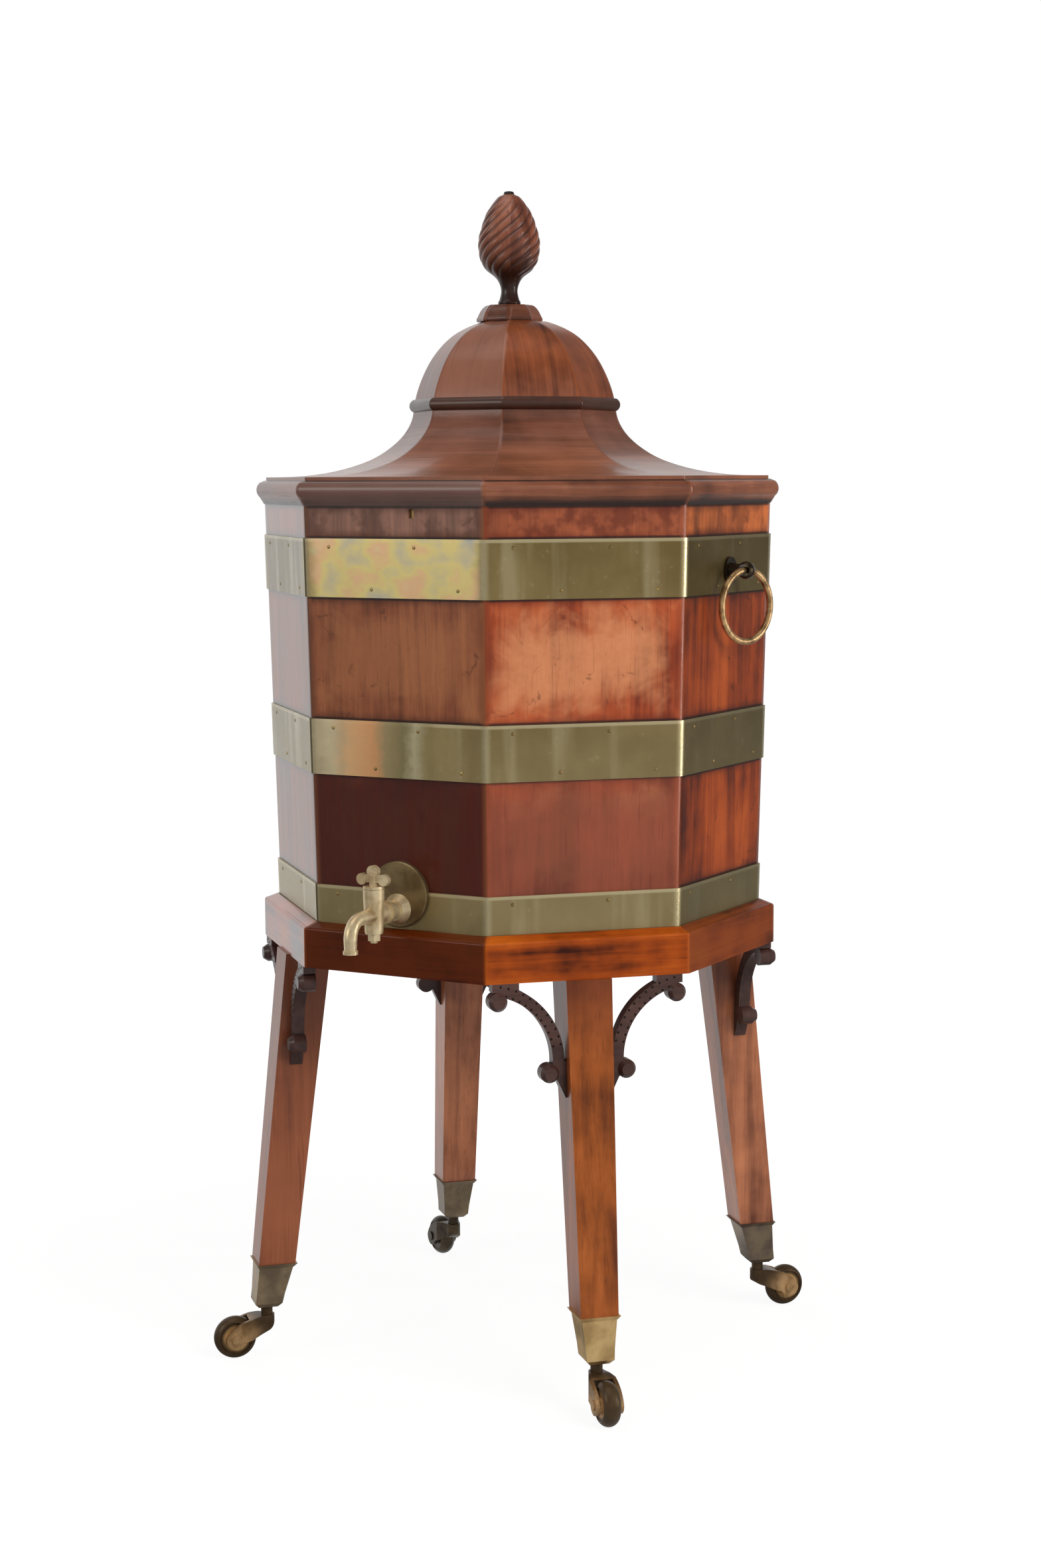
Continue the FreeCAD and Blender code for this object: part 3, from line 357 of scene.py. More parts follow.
# ---------------- finishes
@dataclass(frozen=True)
class Mahogany:
    """Polished mahogany with fibres, soft clouds, pores and old wear, and in places painted light and shade.
    """

    name: str
    light: str
    middle: str
    dark: str
    grain: Grain = Grain.UPRIGHT
    streaks: float = 0.5            # contrast of the broad streaks
    clouds: float = 0.9             # contrast of the clouds
    roughness: float = 0.32
    coat: float = 0.2
    bend: float = 1.4               # index of refraction
    faded_and_glare: str = ""                 # colour of the pale middle of each field: partly wood paled by light, partly a painted reflection of a window
    fading_and_glare: float = 0.0             # how far the middle takes that colour
    fall: tuple[float, float] = (0.0, 0.0)      # heights where the deep colour starts and is full
    deep: str = ""                  # colour towards one end of the piece: painted shade low on the panels, under the rim and at the top of the legs beneath the rails; on the skirt a lighter colour towards its foot, on the finial a darker one
    crown: float = 0.0              # how far the strip under the lid takes the crowned colour: a painted shadow of the lid on the pale panels, a painted grey glare on the tap panel, a lighter orange on the red panels
    crowned: str = ""               # to what colour, if not simply dark
    turned: tuple[tuple[int, float, str], ...] = ()     # painted light on single sides of the octagon: side, how far, colour; darker for painted shade, paler for painted glare
    glazed: float = 0.0             # how much more polish is left on the side between tap and left handle
    carved: bool = False            # whether the mesh tells the depth of its carving
    joint: float = 0.0              # height of a thin dark joint
    edges: tuple[float, ...] = ()   # heights of edges with grime and painted shade beside them
    round_arris: float = 0.0        # width of the rounding at the octagon's corners, metres

    def material(self) -> bpy.types.Material:
        """Draw noise out along the fibres, then add clouds, pores, wear and grime, and paint in light and
        shade in places.

        Returns:
            The material.
        """
        sheet = NodeSheet(bpy.data.materials.new(self.name))
        spot = Octagon.of(sheet)
        steps = (0.0, 0.0, 0.0) if self.grain is Grain.LEVEL else (3.7, 1.9, 0.7)
        offset = sheet.joined(*(spot.side * step for step in steps))
        fibres = sheet.sum(self._fibres(sheet, spot), offset)
        broad = sheet.noise(sheet.stretched(fibres, (0.2, 0.2, 0.16)), 1.0, 4.0, 0.6, 1.1)
        fine = sheet.noise(fibres, 1.0, 5.0, 0.66, 0.5)
        cloud = sheet.noise(sheet.sum(sheet.place(), offset), 11.0, 4.0, 0.6)
        tone = (broad - 0.5) * (1.5 * self.streaks) + (fine - 0.5) * 0.38 + (cloud - 0.5) * self.clouds + 0.5
        paint = sheet.ramp(tone, (0.14, self.dark), (0.5, self.middle), (0.84, self.light))
        if self.edges:
            paint = self._field(sheet, spot, paint, cloud, tone)
            paint = sheet.mixed(spot.seam() * 0.8, paint, "1a0c07")
        # Towards one end of the piece the colour turns to the deep one: painted shade low on the panels,
        # under the rim and at the top of the legs beneath the rails
        if self.deep:
            ragged = (cloud - 0.5) * (self.fall[0] - self.fall[1]) * 0.8
            low = (spot.height + ragged).fade(*self.fall) * (0.8 + tone * 0.3)
            paint = sheet.mixed(low, paint, self._varied(sheet, tone, self.deep))
        # Painted light on single sides of the octagon: darker in shade, paler in glare
        for side, share, code in self.turned:
            paint = sheet.mixed(spot.on(side) * (share * 0.6 + tone * share * 0.8), paint, code)
        if self.joint:
            line = abs(spot.height - self.joint).fade(0.0022, 0.0010)
            paint = sheet.mixed(line * 0.85, paint, "1a0e0a")
        if self.carved:
            valley = sheet.node("Attribute", {"attribute_name": "valley"}, {}, "Fac")
            paint = sheet.mixed(valley * 0.85, paint, self.dark)
        pores = sheet.noise(sheet.stretched(fibres, (3.4, 3.4, 1.6)), 1.0, 2.0, 0.5).fade(0.58, 0.74)
        paint = sheet.mixed(pores * 0.3, paint, self.dark)
        gloss = self.roughness + pores * 0.06 + (cloud - 0.5) * 0.2
        height = (fine * 0.7 - pores * 0.3) * 0.00005
        if self.round_arris:
            # Lighter along the octagon's corners: rubbed wear and a painted highlight; the rounding in the
            # bump catches real light too
            rubbed = spot.arris.fade(self.round_arris, 0.0)
            paint = sheet.mixed(rubbed * 0.3, paint, self.light)
            gloss = gloss - rubbed * 0.1
            height = height - spot.rounding(self.round_arris)
        coat = spot.on(-3) * self.glazed + self.coat if self.glazed else self.coat
        return sheet.finish({"Base Color": paint, "Roughness": gloss, "Coat Weight": coat,
                             "Coat Roughness": 0.12, "Normal": sheet.bump(height), "IOR": self.bend})

    def _varied(self, sheet: NodeSheet, tone: Socket, code: str) -> Socket:
        """A colour, a third darker in the dark streaks and a quarter lighter in the light ones."""
        scales = ((0.25, 0.66), (0.72, 1.25))
        return sheet.ramp(tone, *((place, tuple(c * scale for c in colour(code))) for place, scale in scales))

    def _field(self, sheet: NodeSheet, spot: Octagon, paint: Socket, cloud: Socket, tone: Socket) -> Socket:
        """Add pale middles, partly paled by light and partly a painted reflection; the strip under the lid
        with its painted shadow and glare; stains; and grime with painted shade at the edges.

        Args:
            sheet: the sheet.
            spot: where a point lies.
            paint: the colour so far.
            cloud: the noise of the clouds.
            tone: how light the grain is.

        Returns:
            The new colour.
        """
        edge = abs(spot.height - self.edges[0])
        for level in self.edges[1:]:
            edge = edge.math("MINIMUM", abs(spot.height - level))
        nearest = edge.math("MINIMUM", spot.arris)
        # Pale middles of the fields: partly wood paled by light, partly a painted reflection
        if self.fading_and_glare:
            wander = (sheet.noise(sheet.place(), 24.0, 3.0, 0.6, 0.6) - 0.5) * 0.07 + (cloud - 0.5) * 0.02
            grain = sheet.noise(sheet.place(), 190.0, 2.0, 0.6)
            heart = (nearest + wander).fade(0.002, 0.034) * (0.45 + tone * 0.5 + grain * 0.4)
            heart = heart * spot.height.fade(TOP_LIP + 0.003, TOP_LIP - 0.005)
            paint = sheet.mixed(heart * self.fading_and_glare, paint, self.faded_and_glare)
        dark = tuple(c * 0.7 for c in colour(self.dark))
        # The strip under the lid: painted shadow of the lid on the pale panels, painted grey glare on the tap
        # panel, a lighter orange on the red panels
        crown = (TOP_LIP - 0.006, TOP_LIP + 0.008)
        under = (spot.height + (cloud - 0.5) * 0.02).fade(*crown)
        paint = sheet.mixed(under * self.crown, paint, self._varied(sheet, tone, self.crowned or self.dark))
        spots = sheet.noise(sheet.place(), 46.0, 4.0, 0.7, 1.0).fade(0.61, 0.70)
        paint = sheet.mixed(spots * 0.5, paint, dark)
        # Blotchy dark stains in the same strip: grime, and painted shadow of the lid
        stain = sheet.noise(sheet.place(), 34.0, 3.0, 0.6).fade(0.44, 0.58) * spot.height.fade(*crown)
        paint = sheet.mixed(stain * self.crown * 0.75, paint, dark)
        # Darker within about 9 mm of each edge and corner: grime, and painted shade beside the raised bands
        # and under the rim
        grime_and_shade = (nearest + (cloud - 0.5) * 0.012).fade(0.009, 0.0)
        paint = sheet.mixed(grime_and_shade * 0.55, paint, dark)
        # A thin near-black line at each edge: a joint beside the bands, and a painted shadow under the rim
        return sheet.mixed(edge.fade(0.0028, 0.0012) * 0.8, paint, "120805")

    def _fibres(self, sheet: NodeSheet, spot: Octagon) -> Socket:
        """Lay the coordinates of the grain.

        Args:
            sheet: the sheet.
            spot: where a point lies.

        Returns:
            Coordinates in which a fibre is long along the third number.
        """
        thin, long = 210.0, 11.0        # how often the grain changes in a metre, across it and along it
        x, y, z = sheet.parts(sheet.place())
        if self.grain is Grain.UPRIGHT:
            return sheet.joined(x * thin, y * thin, z * long)
        if self.grain is Grain.LEVEL:
            return sheet.joined(y * thin, z * thin, x * long)
        if self.grain is Grain.ALONG:
            return sheet.joined(spot.out * thin, spot.height * thin, spot.along * long)
        return sheet.joined(spot.along * thin, 3.0, spot.out * long)


@dataclass(frozen=True)
class AgedBrass:
    """Brass with a brown-green skin, rubbed bright in places, with painted highlights, sheen and reflections
    on the bands.
    """

    name: str
    skin: str
    patch: str
    bright: str
    metal: float = 0.85
    roughness: float = 0.40
    mottle: float = 22.0            # how small the patches are
    speckle: float = 0.2
    round_arris: float = 0.0        # width of the rounding at the octagon's corners, metres
    polished: bool = False          # whether it has been rubbed up and down and is yellow on the tap side; this also paints streaks of reflection, highlights on the lips, shade and glare on two sides and a sheen on the lower bands
    lower_sheen: tuple[float, float] = (0.72, 0.42)      # heights where the painted sheen of the lower bands starts, and where it is full
    hub: RGB = (0.0, 0.0, 0.0)      # middle of a caster's wheel
    tread: str = ""                 # colour of the piece away from there
    rubbed: tuple[float, float] = (0.0115, 0.0145)      # how far off that colour starts and is full

    def material(self) -> bpy.types.Material:
        """Paint two sizes of patch, then specks, then the polished places with their painted highlights,
        sheen and reflections.

        Returns:
            The material.
        """
        sheet = NodeSheet(bpy.data.materials.new(self.name))
        spot = Octagon.of(sheet)
        here = sheet.place()
        large = sheet.noise(here, self.mottle, 4.0, 0.55, 0.3)
        small = sheet.noise(here, self.mottle * 11.0, 3.0, 0.6)
        paint = sheet.mixed(large.fade(0.30, 0.70), self.patch, self.skin)
        paint = sheet.mixed(small.fade(0.60, 0.78) * self.speckle, paint, self.bright)
        paint = sheet.mixed(small.fade(0.40, 0.26) * self.speckle, paint, self.patch)
        gloss = self.roughness + (large - 0.5) * 0.28 + (small - 0.5) * 0.12
        if self.tread:
            x, y, z = (number - own for number, own in zip(sheet.parts(here), self.hub))
            reach = sheet.maths("SQRT", x * x + y * y + z * z)
            paint = sheet.mixed(reach.fade(*self.rubbed) * 0.9, paint, self.tread)
        if self.polished:
            # Upright strokes: rubbing marks, and painted streaks of reflection
            upright = sheet.joined(spot.along * 46.0, spot.height * 4.0, spot.side * 5.3)
            strokes = sheet.noise(upright, 1.0, 3.0)
            paint = sheet.mixed(strokes.fade(0.50, 0.72) * 0.34, paint, self.bright)
            paint = sheet.mixed(strokes.fade(0.48, 0.30) * 0.30, paint, self.patch)
            # A painted highlight along the lip of each band
            for _, lip in BANDS.values():
                edge = spot.height.fade(lip - 0.0035, lip - 0.002) * spot.height.fade(lip + 0.02, lip + 0.01)
                paint = sheet.mixed(edge * 0.7, paint, self.bright)
            # Painted shade on the right-hand side, and a painted grey glare on the front-left side
            paint = sheet.mixed(spot.on(0) * 0.55, paint, "54461f")
            paint = sheet.mixed(spot.on(-3) * 0.5, paint, "a9aaa8")
            # A painted sheen that grows towards the bottom band
            paint = sheet.mixed(spot.height.fade(*self.lower_sheen) * 0.22, paint, self.bright)
            paint = self._polish(sheet, spot, paint, large, small)
            gloss = gloss - strokes.fade(0.5, 0.7) * 0.08
        height = (small + large) * 0.00006
        if self.round_arris:
            # Brighter along the octagon's corners: rubbed wear and a painted highlight; the rounding in the
            # bump catches real light too
            rubbed = spot.arris.fade(self.round_arris, 0.0)
            paint = sheet.mixed(rubbed * 0.6, paint, self.bright)
            paint = sheet.mixed(spot.seam() * 0.8, paint, "1f1a10")
            gloss = gloss - rubbed * 0.12
            height = height - spot.rounding(self.round_arris)
        return sheet.finish({"Base Color": paint, "Metallic": self.metal, "Roughness": gloss,
                             "Normal": sheet.bump(height)})

    def _polish(self, sheet: NodeSheet, spot: Octagon, paint: Socket, large: Socket, small: Socket) -> Socket:
        """Rub the top band yellow on the tap side, a bright yellow that also paints the reflection there, and
        leave an orange patch on the band below it between painted streaks of sheen.

        Args:
            sheet: the sheet.
            spot: where a point lies.
            paint: the colour so far.
            large: the noise of the large patches.
            small: the noise of the small ones.

        Returns:
            The new colour.
        """
        x, _, z = sheet.parts(sheet.place())
        front = spot.on(-2)
        top = z.fade(TOP_FOOT - 0.02, TOP_FOOT - 0.01)
        edge = (abs(x) + (large - 0.5) * 0.05).fade(HALF_SIDE + 0.003, HALF_SIDE - 0.013)
        # The yellows are brighter than the brass, to paint the reflection on the tap side
        yellows = ((0.32, "a9b0b6"), (0.42, "d2c8a6"), (0.51, "ead890"), (0.59, "f0c498"), (0.68, "e6dcaa"))
        sheen = sheet.noise(sheet.stretched(sheet.place(), (1.0, 1.0, 1.3)), 19.0, 3.0, 0.5)
        tint = sheet.ramp(sheen, *yellows)
        paint = sheet.mixed(front * top * edge * 0.92, paint, tint)
        reach = HALF_SIDE - 0.002
        across = (x + reach + (large - 0.5) * 0.03 + (small - 0.5) * 0.012) / (2 * reach)
        # The cream stops on either side of the orange are painted streaks of sheen
        oranges = ((0.0, "cdbd9a"), (0.12, "ecdcb4"), (0.22, "ffcc96"), (0.36, "fcb880"), (0.44, "b3a077"),
                   (0.54, "948860"), (0.62, "d0c6a2"), (0.70, "96895f"))
        tint = sheet.ramp(across, *oranges)
        below = z.fade(MIDDLE_FOOT - 0.03, MIDDLE_FOOT - 0.01) * (1 - top) * across.fade(0.80, 0.60)
        return sheet.mixed(front * below * 0.85, paint, tint)


@dataclass(frozen=True)
class DullMetal:
    """Grey lining sheet or plain iron, with soft stains."""

    name: str
    tone: str
    stain: str
    roughness: float = 0.5
    metal: float = 0.9

    def material(self) -> bpy.types.Material:
        """Stain the metal with one noise and roughen it with a finer one.

        Returns:
            The material.
        """
        sheet = NodeSheet(bpy.data.materials.new(self.name))
        here = sheet.place()
        cloud = sheet.noise(here, 14.0, 5.0, 0.6, 0.5)
        grit = sheet.noise(here, 320.0, 2.0, 0.5)
        paint = sheet.mixed(cloud.fade(0.38, 0.7), self.tone, self.stain)
        gloss = self.roughness + (cloud - 0.5) * 0.3
        return sheet.finish({"Base Color": paint, "Metallic": self.metal, "Roughness": gloss,
                             "Normal": sheet.bump(grit * 0.00004)})


FIELD_EDGES = (BANDS["bottom"][1], MIDDLE_FOOT, MIDDLE_LIP, TOP_FOOT, TOP_LIP, TUB_TOP)
# The tap panel: a painted reflection in the pale middles, painted shade in the dark colour low on the panel,
# and a painted grey glare under the lid
TAP_PANEL = Mahogany("tap panel mahogany", "aa6840", "864a2e", "4a220f", streaks=0.8, clouds=0.5,
                     faded_and_glare="a96b44", fading_and_glare=0.6, fall=(MIDDLE_LIP + 0.005, MIDDLE_FOOT - 0.013),
                     deep="440e02", crown=0.6, crowned="8a6d62", edges=FIELD_EDGES, round_arris=0.006)
# The pale panels: middles partly paled by light and partly a painted reflection, painted shade low on the
# panel and in the dark strip under the lid
PALE_PANEL = Mahogany("faded panel mahogany", "b4582e", "9e441e", "5a1808", streaks=0.7, clouds=1.2,
                      faded_and_glare="c8845a", fading_and_glare=0.9, fall=(MIDDLE_LIP + 0.005, MIDDLE_FOOT - 0.033),
                      deep="7e3e2a", crown=0.8, crowned="85482d", edges=FIELD_EDGES, round_arris=0.006)
RED_PANEL = Mahogany("red panel mahogany", "a64a16", "84340a", "3a0e04", streaks=0.85, clouds=1.3, coat=0.1,
                     crown=0.5, crowned="c4703c", edges=FIELD_EDGES, round_arris=0.006)
SIDE_PANEL = Mahogany("side panel mahogany", "9c5430", "7e4020", "40180c", streaks=0.8, clouds=1.1, coat=0.6,
                      edges=FIELD_EDGES, round_arris=0.006)
# The rails: the tap side and the right side painted darker as painted shade
RAIL_WOOD = Mahogany("rail mahogany", "b85a14", "96400a", "341004", Grain.ALONG, 0.75, 1.5, coat=0.1,
                     bend=1.25, turned=((-2, 0.75, "341004"), (0, 0.5, "4a2410")), glazed=0.6,
                     round_arris=0.003)
# The front legs: painted shade at the top beneath the rails, and a painted pale haze of glare on the
# front-left leg
LEG_WOOD = Mahogany("leg mahogany", "b4622c", "914b1b", "441c0a", streaks=0.7, clouds=1.1, bend=1.3,
                    fall=(RAIL_FOOT - 0.097, RAIL_FOOT + 0.003), deep="683218",
                    turned=((-3, 0.55, "8c5644"),))
# A lighter copy of the leg wood for the back legs, painting the light they catch, with painted shade at the
# top beneath the rails
PAINTED_LIT_LEG = Mahogany("painted-lit leg mahogany", "c88058", "a66646", "582c1a", streaks=0.7, clouds=1.1,
                    fall=(RAIL_FOOT - 0.097, RAIL_FOOT + 0.003), deep="84462a")
SCROLL_WOOD = Mahogany("scroll mahogany", "62433c", "452d28", "1c0f0c", Grain.ALONG, 0.4, 0.8, 0.4, 0.2)
# The rim: its underside painted near-black as the shadow under the moulding, and a painted grey glare on the
# tap side
RIM_WOOD = Mahogany("rim mahogany", "9a6044", "76442e", "321810", Grain.ALONG, 0.6, 1.1,
                    fall=(TUB_TOP + 0.009, TUB_TOP + 0.0015), deep="180b07", turned=((-2, 0.7, "6c554f"),),
                    joint=RIM_TOP + 0.0005, round_arris=0.003)
SKIRT_WOOD = Mahogany("skirt mahogany", "80503e", "633826", "2c140c", Grain.ALONG, 0.6, 1.3,
                      fall=(RIM_TOP + 0.042, RIM_TOP + 0.012), deep="845038", round_arris=0.002)
# The dome: a painted pale sheen on the tap side
DOME_WOOD = Mahogany("dome mahogany", "9a5430", "7c4022", "381608", Grain.INWARD, 0.5, 1.5,
                     turned=((-2, 0.5, "8c6252"),), round_arris=0.002)
BEAD_WOOD = Mahogany("bead mahogany", "573527", "3d241b", "1b0d09", Grain.ALONG, 0.4, 0.8, 0.34, 0.2,
                     round_arris=0.0012)
FINIAL_WOOD = Mahogany("carved mahogany", "a56a50", "7c4632", "260e09", streaks=0.5,
                       fall=(FINIAL_FOOT + 0.057, FINIAL_FOOT + 0.022), deep="1c0b06", carved=True)
BOARD_WOOD = Mahogany("board mahogany", "7c4a2e", "683a22", "3a1c10", Grain.LEVEL, 0.7, 0.5, 0.6, 0.0)
PUNCHED = Mahogany("punched mark", "1c0f0b", "160b08", "0e0605", streaks=0.3, roughness=0.7, coat=0.0)
TIP_WOOD = Mahogany("finial tip", "2c211a", "201610", "120b08", streaks=0.4, roughness=0.5, coat=0.1)

BAND_BRASS = AgedBrass("band brass", "9c885a", "847044", "dccea4", mottle=13.0, round_arris=0.006,
                       polished=True)
TAP_BRASS = AgedBrass("tap brass", "eedcb4", "c4aa80", "f6ecd2", mottle=70.0, roughness=0.38, metal=0.75)
PLATE_BRASS = AgedBrass("tap plate brass", "96815c", "766244", "b09a72", mottle=60.0)
HANDLE_BRASS = AgedBrass("handle brass", "e2ba86", "8a6c48", "f2deb4", mottle=110.0, roughness=0.34)
POST_BRASS = AgedBrass("post brass", "4a3d2c", "2a2118", "b5a892", mottle=90.0, roughness=0.3, speckle=0.15)
HINGE_BRASS = AgedBrass("hinge brass", "b89e66", "806a42", "dccf9f", mottle=60.0)
SOCKET_BRASS = AgedBrass("socket brass", "97866e", "72635a", "b8a680", mottle=48.0)
# Lighter and darker copies of the socket brass, one for each corner, painting the light on each: brightest at
# the front right, darkest at the back left
SOCKETS = {"front_right": AgedBrass("brightest painted-lit socket brass", "ecca8e", "bc9a66", "f4e2b4", mottle=48.0),
           "front_left": replace(SOCKET_BRASS, name="painted-lit socket brass", skin="bda684", patch="8e7c66"),
           "back_left": replace(SOCKET_BRASS, name="painted-shade socket brass", skin="766650", patch="564a3c"),
           "back_right": SOCKET_BRASS}
HORN_BRASS = AgedBrass("horn brass", "d0a878", "8e6c44", "e2c69a", mottle=70.0, roughness=0.40, metal=0.6,
                       tread="35271a", rubbed=(0.012, 0.029))
WHEEL_BRASS = AgedBrass("wheel brass", "dcb074", "aa8454", "ecd09c", mottle=80.0, roughness=0.42, metal=0.55,
                        tread="2c2218")
BLACK_BRASS = AgedBrass("blackened brass", "4c4030", "2a231b", "8c7a58", mottle=70.0, roughness=0.38)
LINING = DullMetal("lining sheet", "8f908d", "6a6963", metal=0.35)
IRON = DullMetal("lock iron", "6c6a66", "3b3632", 0.45)

Finish = Union[Mahogany, AgedBrass, DullMetal]
_MADE: dict[str, bpy.types.Material] = {}


def finished(piece: bpy.types.Object, finish: Finish) -> None:
    """Give a piece one finish, which is made once and shared.

    Args:
        piece: the piece.
        finish: its finish.
    """
    if finish.name not in _MADE:
        _MADE[finish.name] = finish.material()
    piece.data.materials.clear()
    piece.data.materials.append(_MADE[finish.name])
    LOG.info("%s: %s", piece.name, finish.name)


def dressed(looks: dict[str, Finish]) -> None:
    """Give each CAD node its finish, by the node's name."""
    for name, finish in looks.items():
        finished(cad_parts[name], finish)


# ---------------- surfaces
def grid_faces(rows: int, columns: int) -> Array:
    """Quads of a grid whose rows run round and close.

    A quad takes point (i, j), its right-hand neighbour, and the two above them.

    Args:
        rows: how many rows of points.
        columns: how many points in a row.

    Returns:
        Whole numbers, four to a quad.
    """
    i, j = np.meshgrid(np.arange(rows - 1), np.arange(columns), indexing="ij")
    here, right = i * columns + j, i * columns + (j + 1) % columns
    return np.stack([here, right, right + columns, here + columns], -1).reshape(-1, 4)


def piece_from(name: str, points: Array, faces: Array, values: Array = np.zeros(0)) -> bpy.types.Object:
    """A smooth mesh object with its place in its mesh, and its doubled points merged.

    Args:
        name: what the object is called.
        points: its points.
        faces: its quads; one that meets a pole becomes a triangle.
        values: how deep in a valley of the carving each point lies, if it is carved.

    Returns:
        The object, in the scene.
    """
    mesh = bpy.data.meshes.new(name)
    mesh.from_pydata(points.reshape(-1, 3).tolist(), [], faces.tolist())
    if values.size:
        mesh.attributes.new("valley", "FLOAT", "POINT").data.foreach_set("value", values)
    merged = bmesh.new()
    merged.from_mesh(mesh)
    bmesh.ops.remove_doubles(merged, verts=merged.verts, dist=1e-6)
    merged.to_mesh(mesh)
    merged.free()
    mesh.validate()
    mesh.polygons.foreach_set("use_smooth", np.full(len(mesh.polygons), True))
    mesh.update()
    made = bpy.data.objects.new(name, mesh)
    bpy.context.scene.collection.objects.link(made)
    return made


def spun(profile: Array, steps: int) -> Array:
    """A profile of (radius, height) pairs carried round the Z axis.

    Point (i, j) is radius i times the cosine and sine of angle j, at height i.

    Args:
        profile: the pairs, from one end to the other.
        steps: how many points go round.

    Returns:
        A grid of points.
    """
    angle = np.linspace(0.0, 2 * math.pi, steps, endpoint=False)
    radius, height = profile[:, :1], profile[:, 1:]
    level = np.broadcast_to(height, (len(profile), steps))
    return np.stack([radius * np.cos(angle), radius * np.sin(angle), level], -1)


@dataclass(frozen=True)
class Dome:
    """A small dome that is set many times on upright sides."""

    radius: float
    height: float
    rings: int                      # rows of points, from its foot to its top
    steps: int                      # points round it
    sunk: float = 0.0               # how deep its foot lies, metres

    def scattered(self, name: str, azimuths: Array, spots: Array) -> bpy.types.Object:
        """Set a dome at each spot.

        A dome's radius falls as the cosine, and its height grows as the sine, of an angle from
        0 to a quarter turn.  It points along the X axis at its spot, and both are then turned
        about the Z axis to face as the side does.

        Args:
            name: what the object is called.
            azimuths: which way the side under each dome faces, in degrees.
            spots: where each stands: along its side, up, and out from the axis.

        Returns:
            The object, in the scene.
        """
        swing = np.linspace(0.0, math.pi / 2, self.rings)
        cap = np.stack([self.radius * np.cos(swing), self.height * np.sin(swing)], -1)
        shape = spun(np.vstack([(0.0, 0.0), cap]), self.steps).reshape(-1, 3) - (0.0, 0.0, self.sunk)
        along, up, out = np.moveaxis(shape + spots[:, None], -1, 0)
        sine, cosine = np.sin(np.radians(azimuths))[:, None], np.cos(np.radians(azimuths))[:, None]
        points = np.stack([out * cosine - along * sine, out * sine + along * cosine, up], -1)
        jumps = np.arange(len(spots))[:, None, None] * len(shape)
        LOG.info("%s: %d", name, len(spots))
        return piece_from(name, points, (grid_faces(self.rings + 1, self.steps) + jumps).reshape(-1, 4))


# ---------------- sub-assemblies
@dataclass
class TaperedTub:
    """The staved tub with its bands, lining, lock and tap."""

    pin: Dome = Dome(0.0017, 0.0006, 4, 10, sunk=0.00008)
    pin_inset: float = 0.007        # pin to the band's edge
    pin_steps: tuple[float, ...] = (-0.062, -0.021, 0.021, 0.062)

    def apothem(self, height: Array) -> Array:
        """Distances from the axis to a band's side, linear between the lips of two bands."""
        low, high = (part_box(f"band_{name}")[1] for name in ("bottom", "top"))
        return low.x + (high.x - low.x) * (height - low.z) / (high.z - low.z)

    def dress(self) -> None:
        """Finish the nodes of the tub and pin its bands."""
        looks = dict.fromkeys(PANEL_NODES, RED_PANEL)
        looks |= {"panel_front": TAP_PANEL, "panel_front_right": PALE_PANEL, "panel_back_left": PALE_PANEL,
                  "panel_front_left": SIDE_PANEL, "tub_board": BOARD_WOOD, "liner": LINING, "lock_bolt": IRON,
                  "tap_plate": PLATE_BRASS, "handle_posts": POST_BRASS}
        looks |= dict.fromkeys((f"band_{name}" for name in BANDS), BAND_BRASS)
        looks |= dict.fromkeys(("lock_case", "link_plate", "tub_hinge_leaves", "lid_hinge_leaves",
                                "hinge_pins"), HINGE_BRASS)
        looks |= dict.fromkeys(TAP_NODES, TAP_BRASS)
        looks |= dict.fromkeys(("handle_ring_left", "handle_ring_right"), HANDLE_BRASS)
        dressed(looks)
        self.pins()

    def pins(self) -> None:
        """Domed pins in two staggered rows on each band.

        Every second pin lies near the band's foot, and the others near its lip.
        """
        side, k = np.meshgrid(np.arange(8), np.arange(len(self.pin_steps)), indexing="ij")
        along = np.array(self.pin_steps)[k]
        spots = []
        for low, high in BANDS.values():
            height = np.where(k % 2, low + self.pin_inset, high - self.pin_inset)
            spots.append(np.stack([along, height, self.apothem(height)], -1))
        azimuths = np.tile(side.ravel() * math.degrees(EIGHTH), len(BANDS))
        pins = self.pin.scattered("band_pins", azimuths, np.concatenate(spots).reshape(-1, 3))
        finished(pins, HINGE_BRASS)
        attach(pins, "tub")


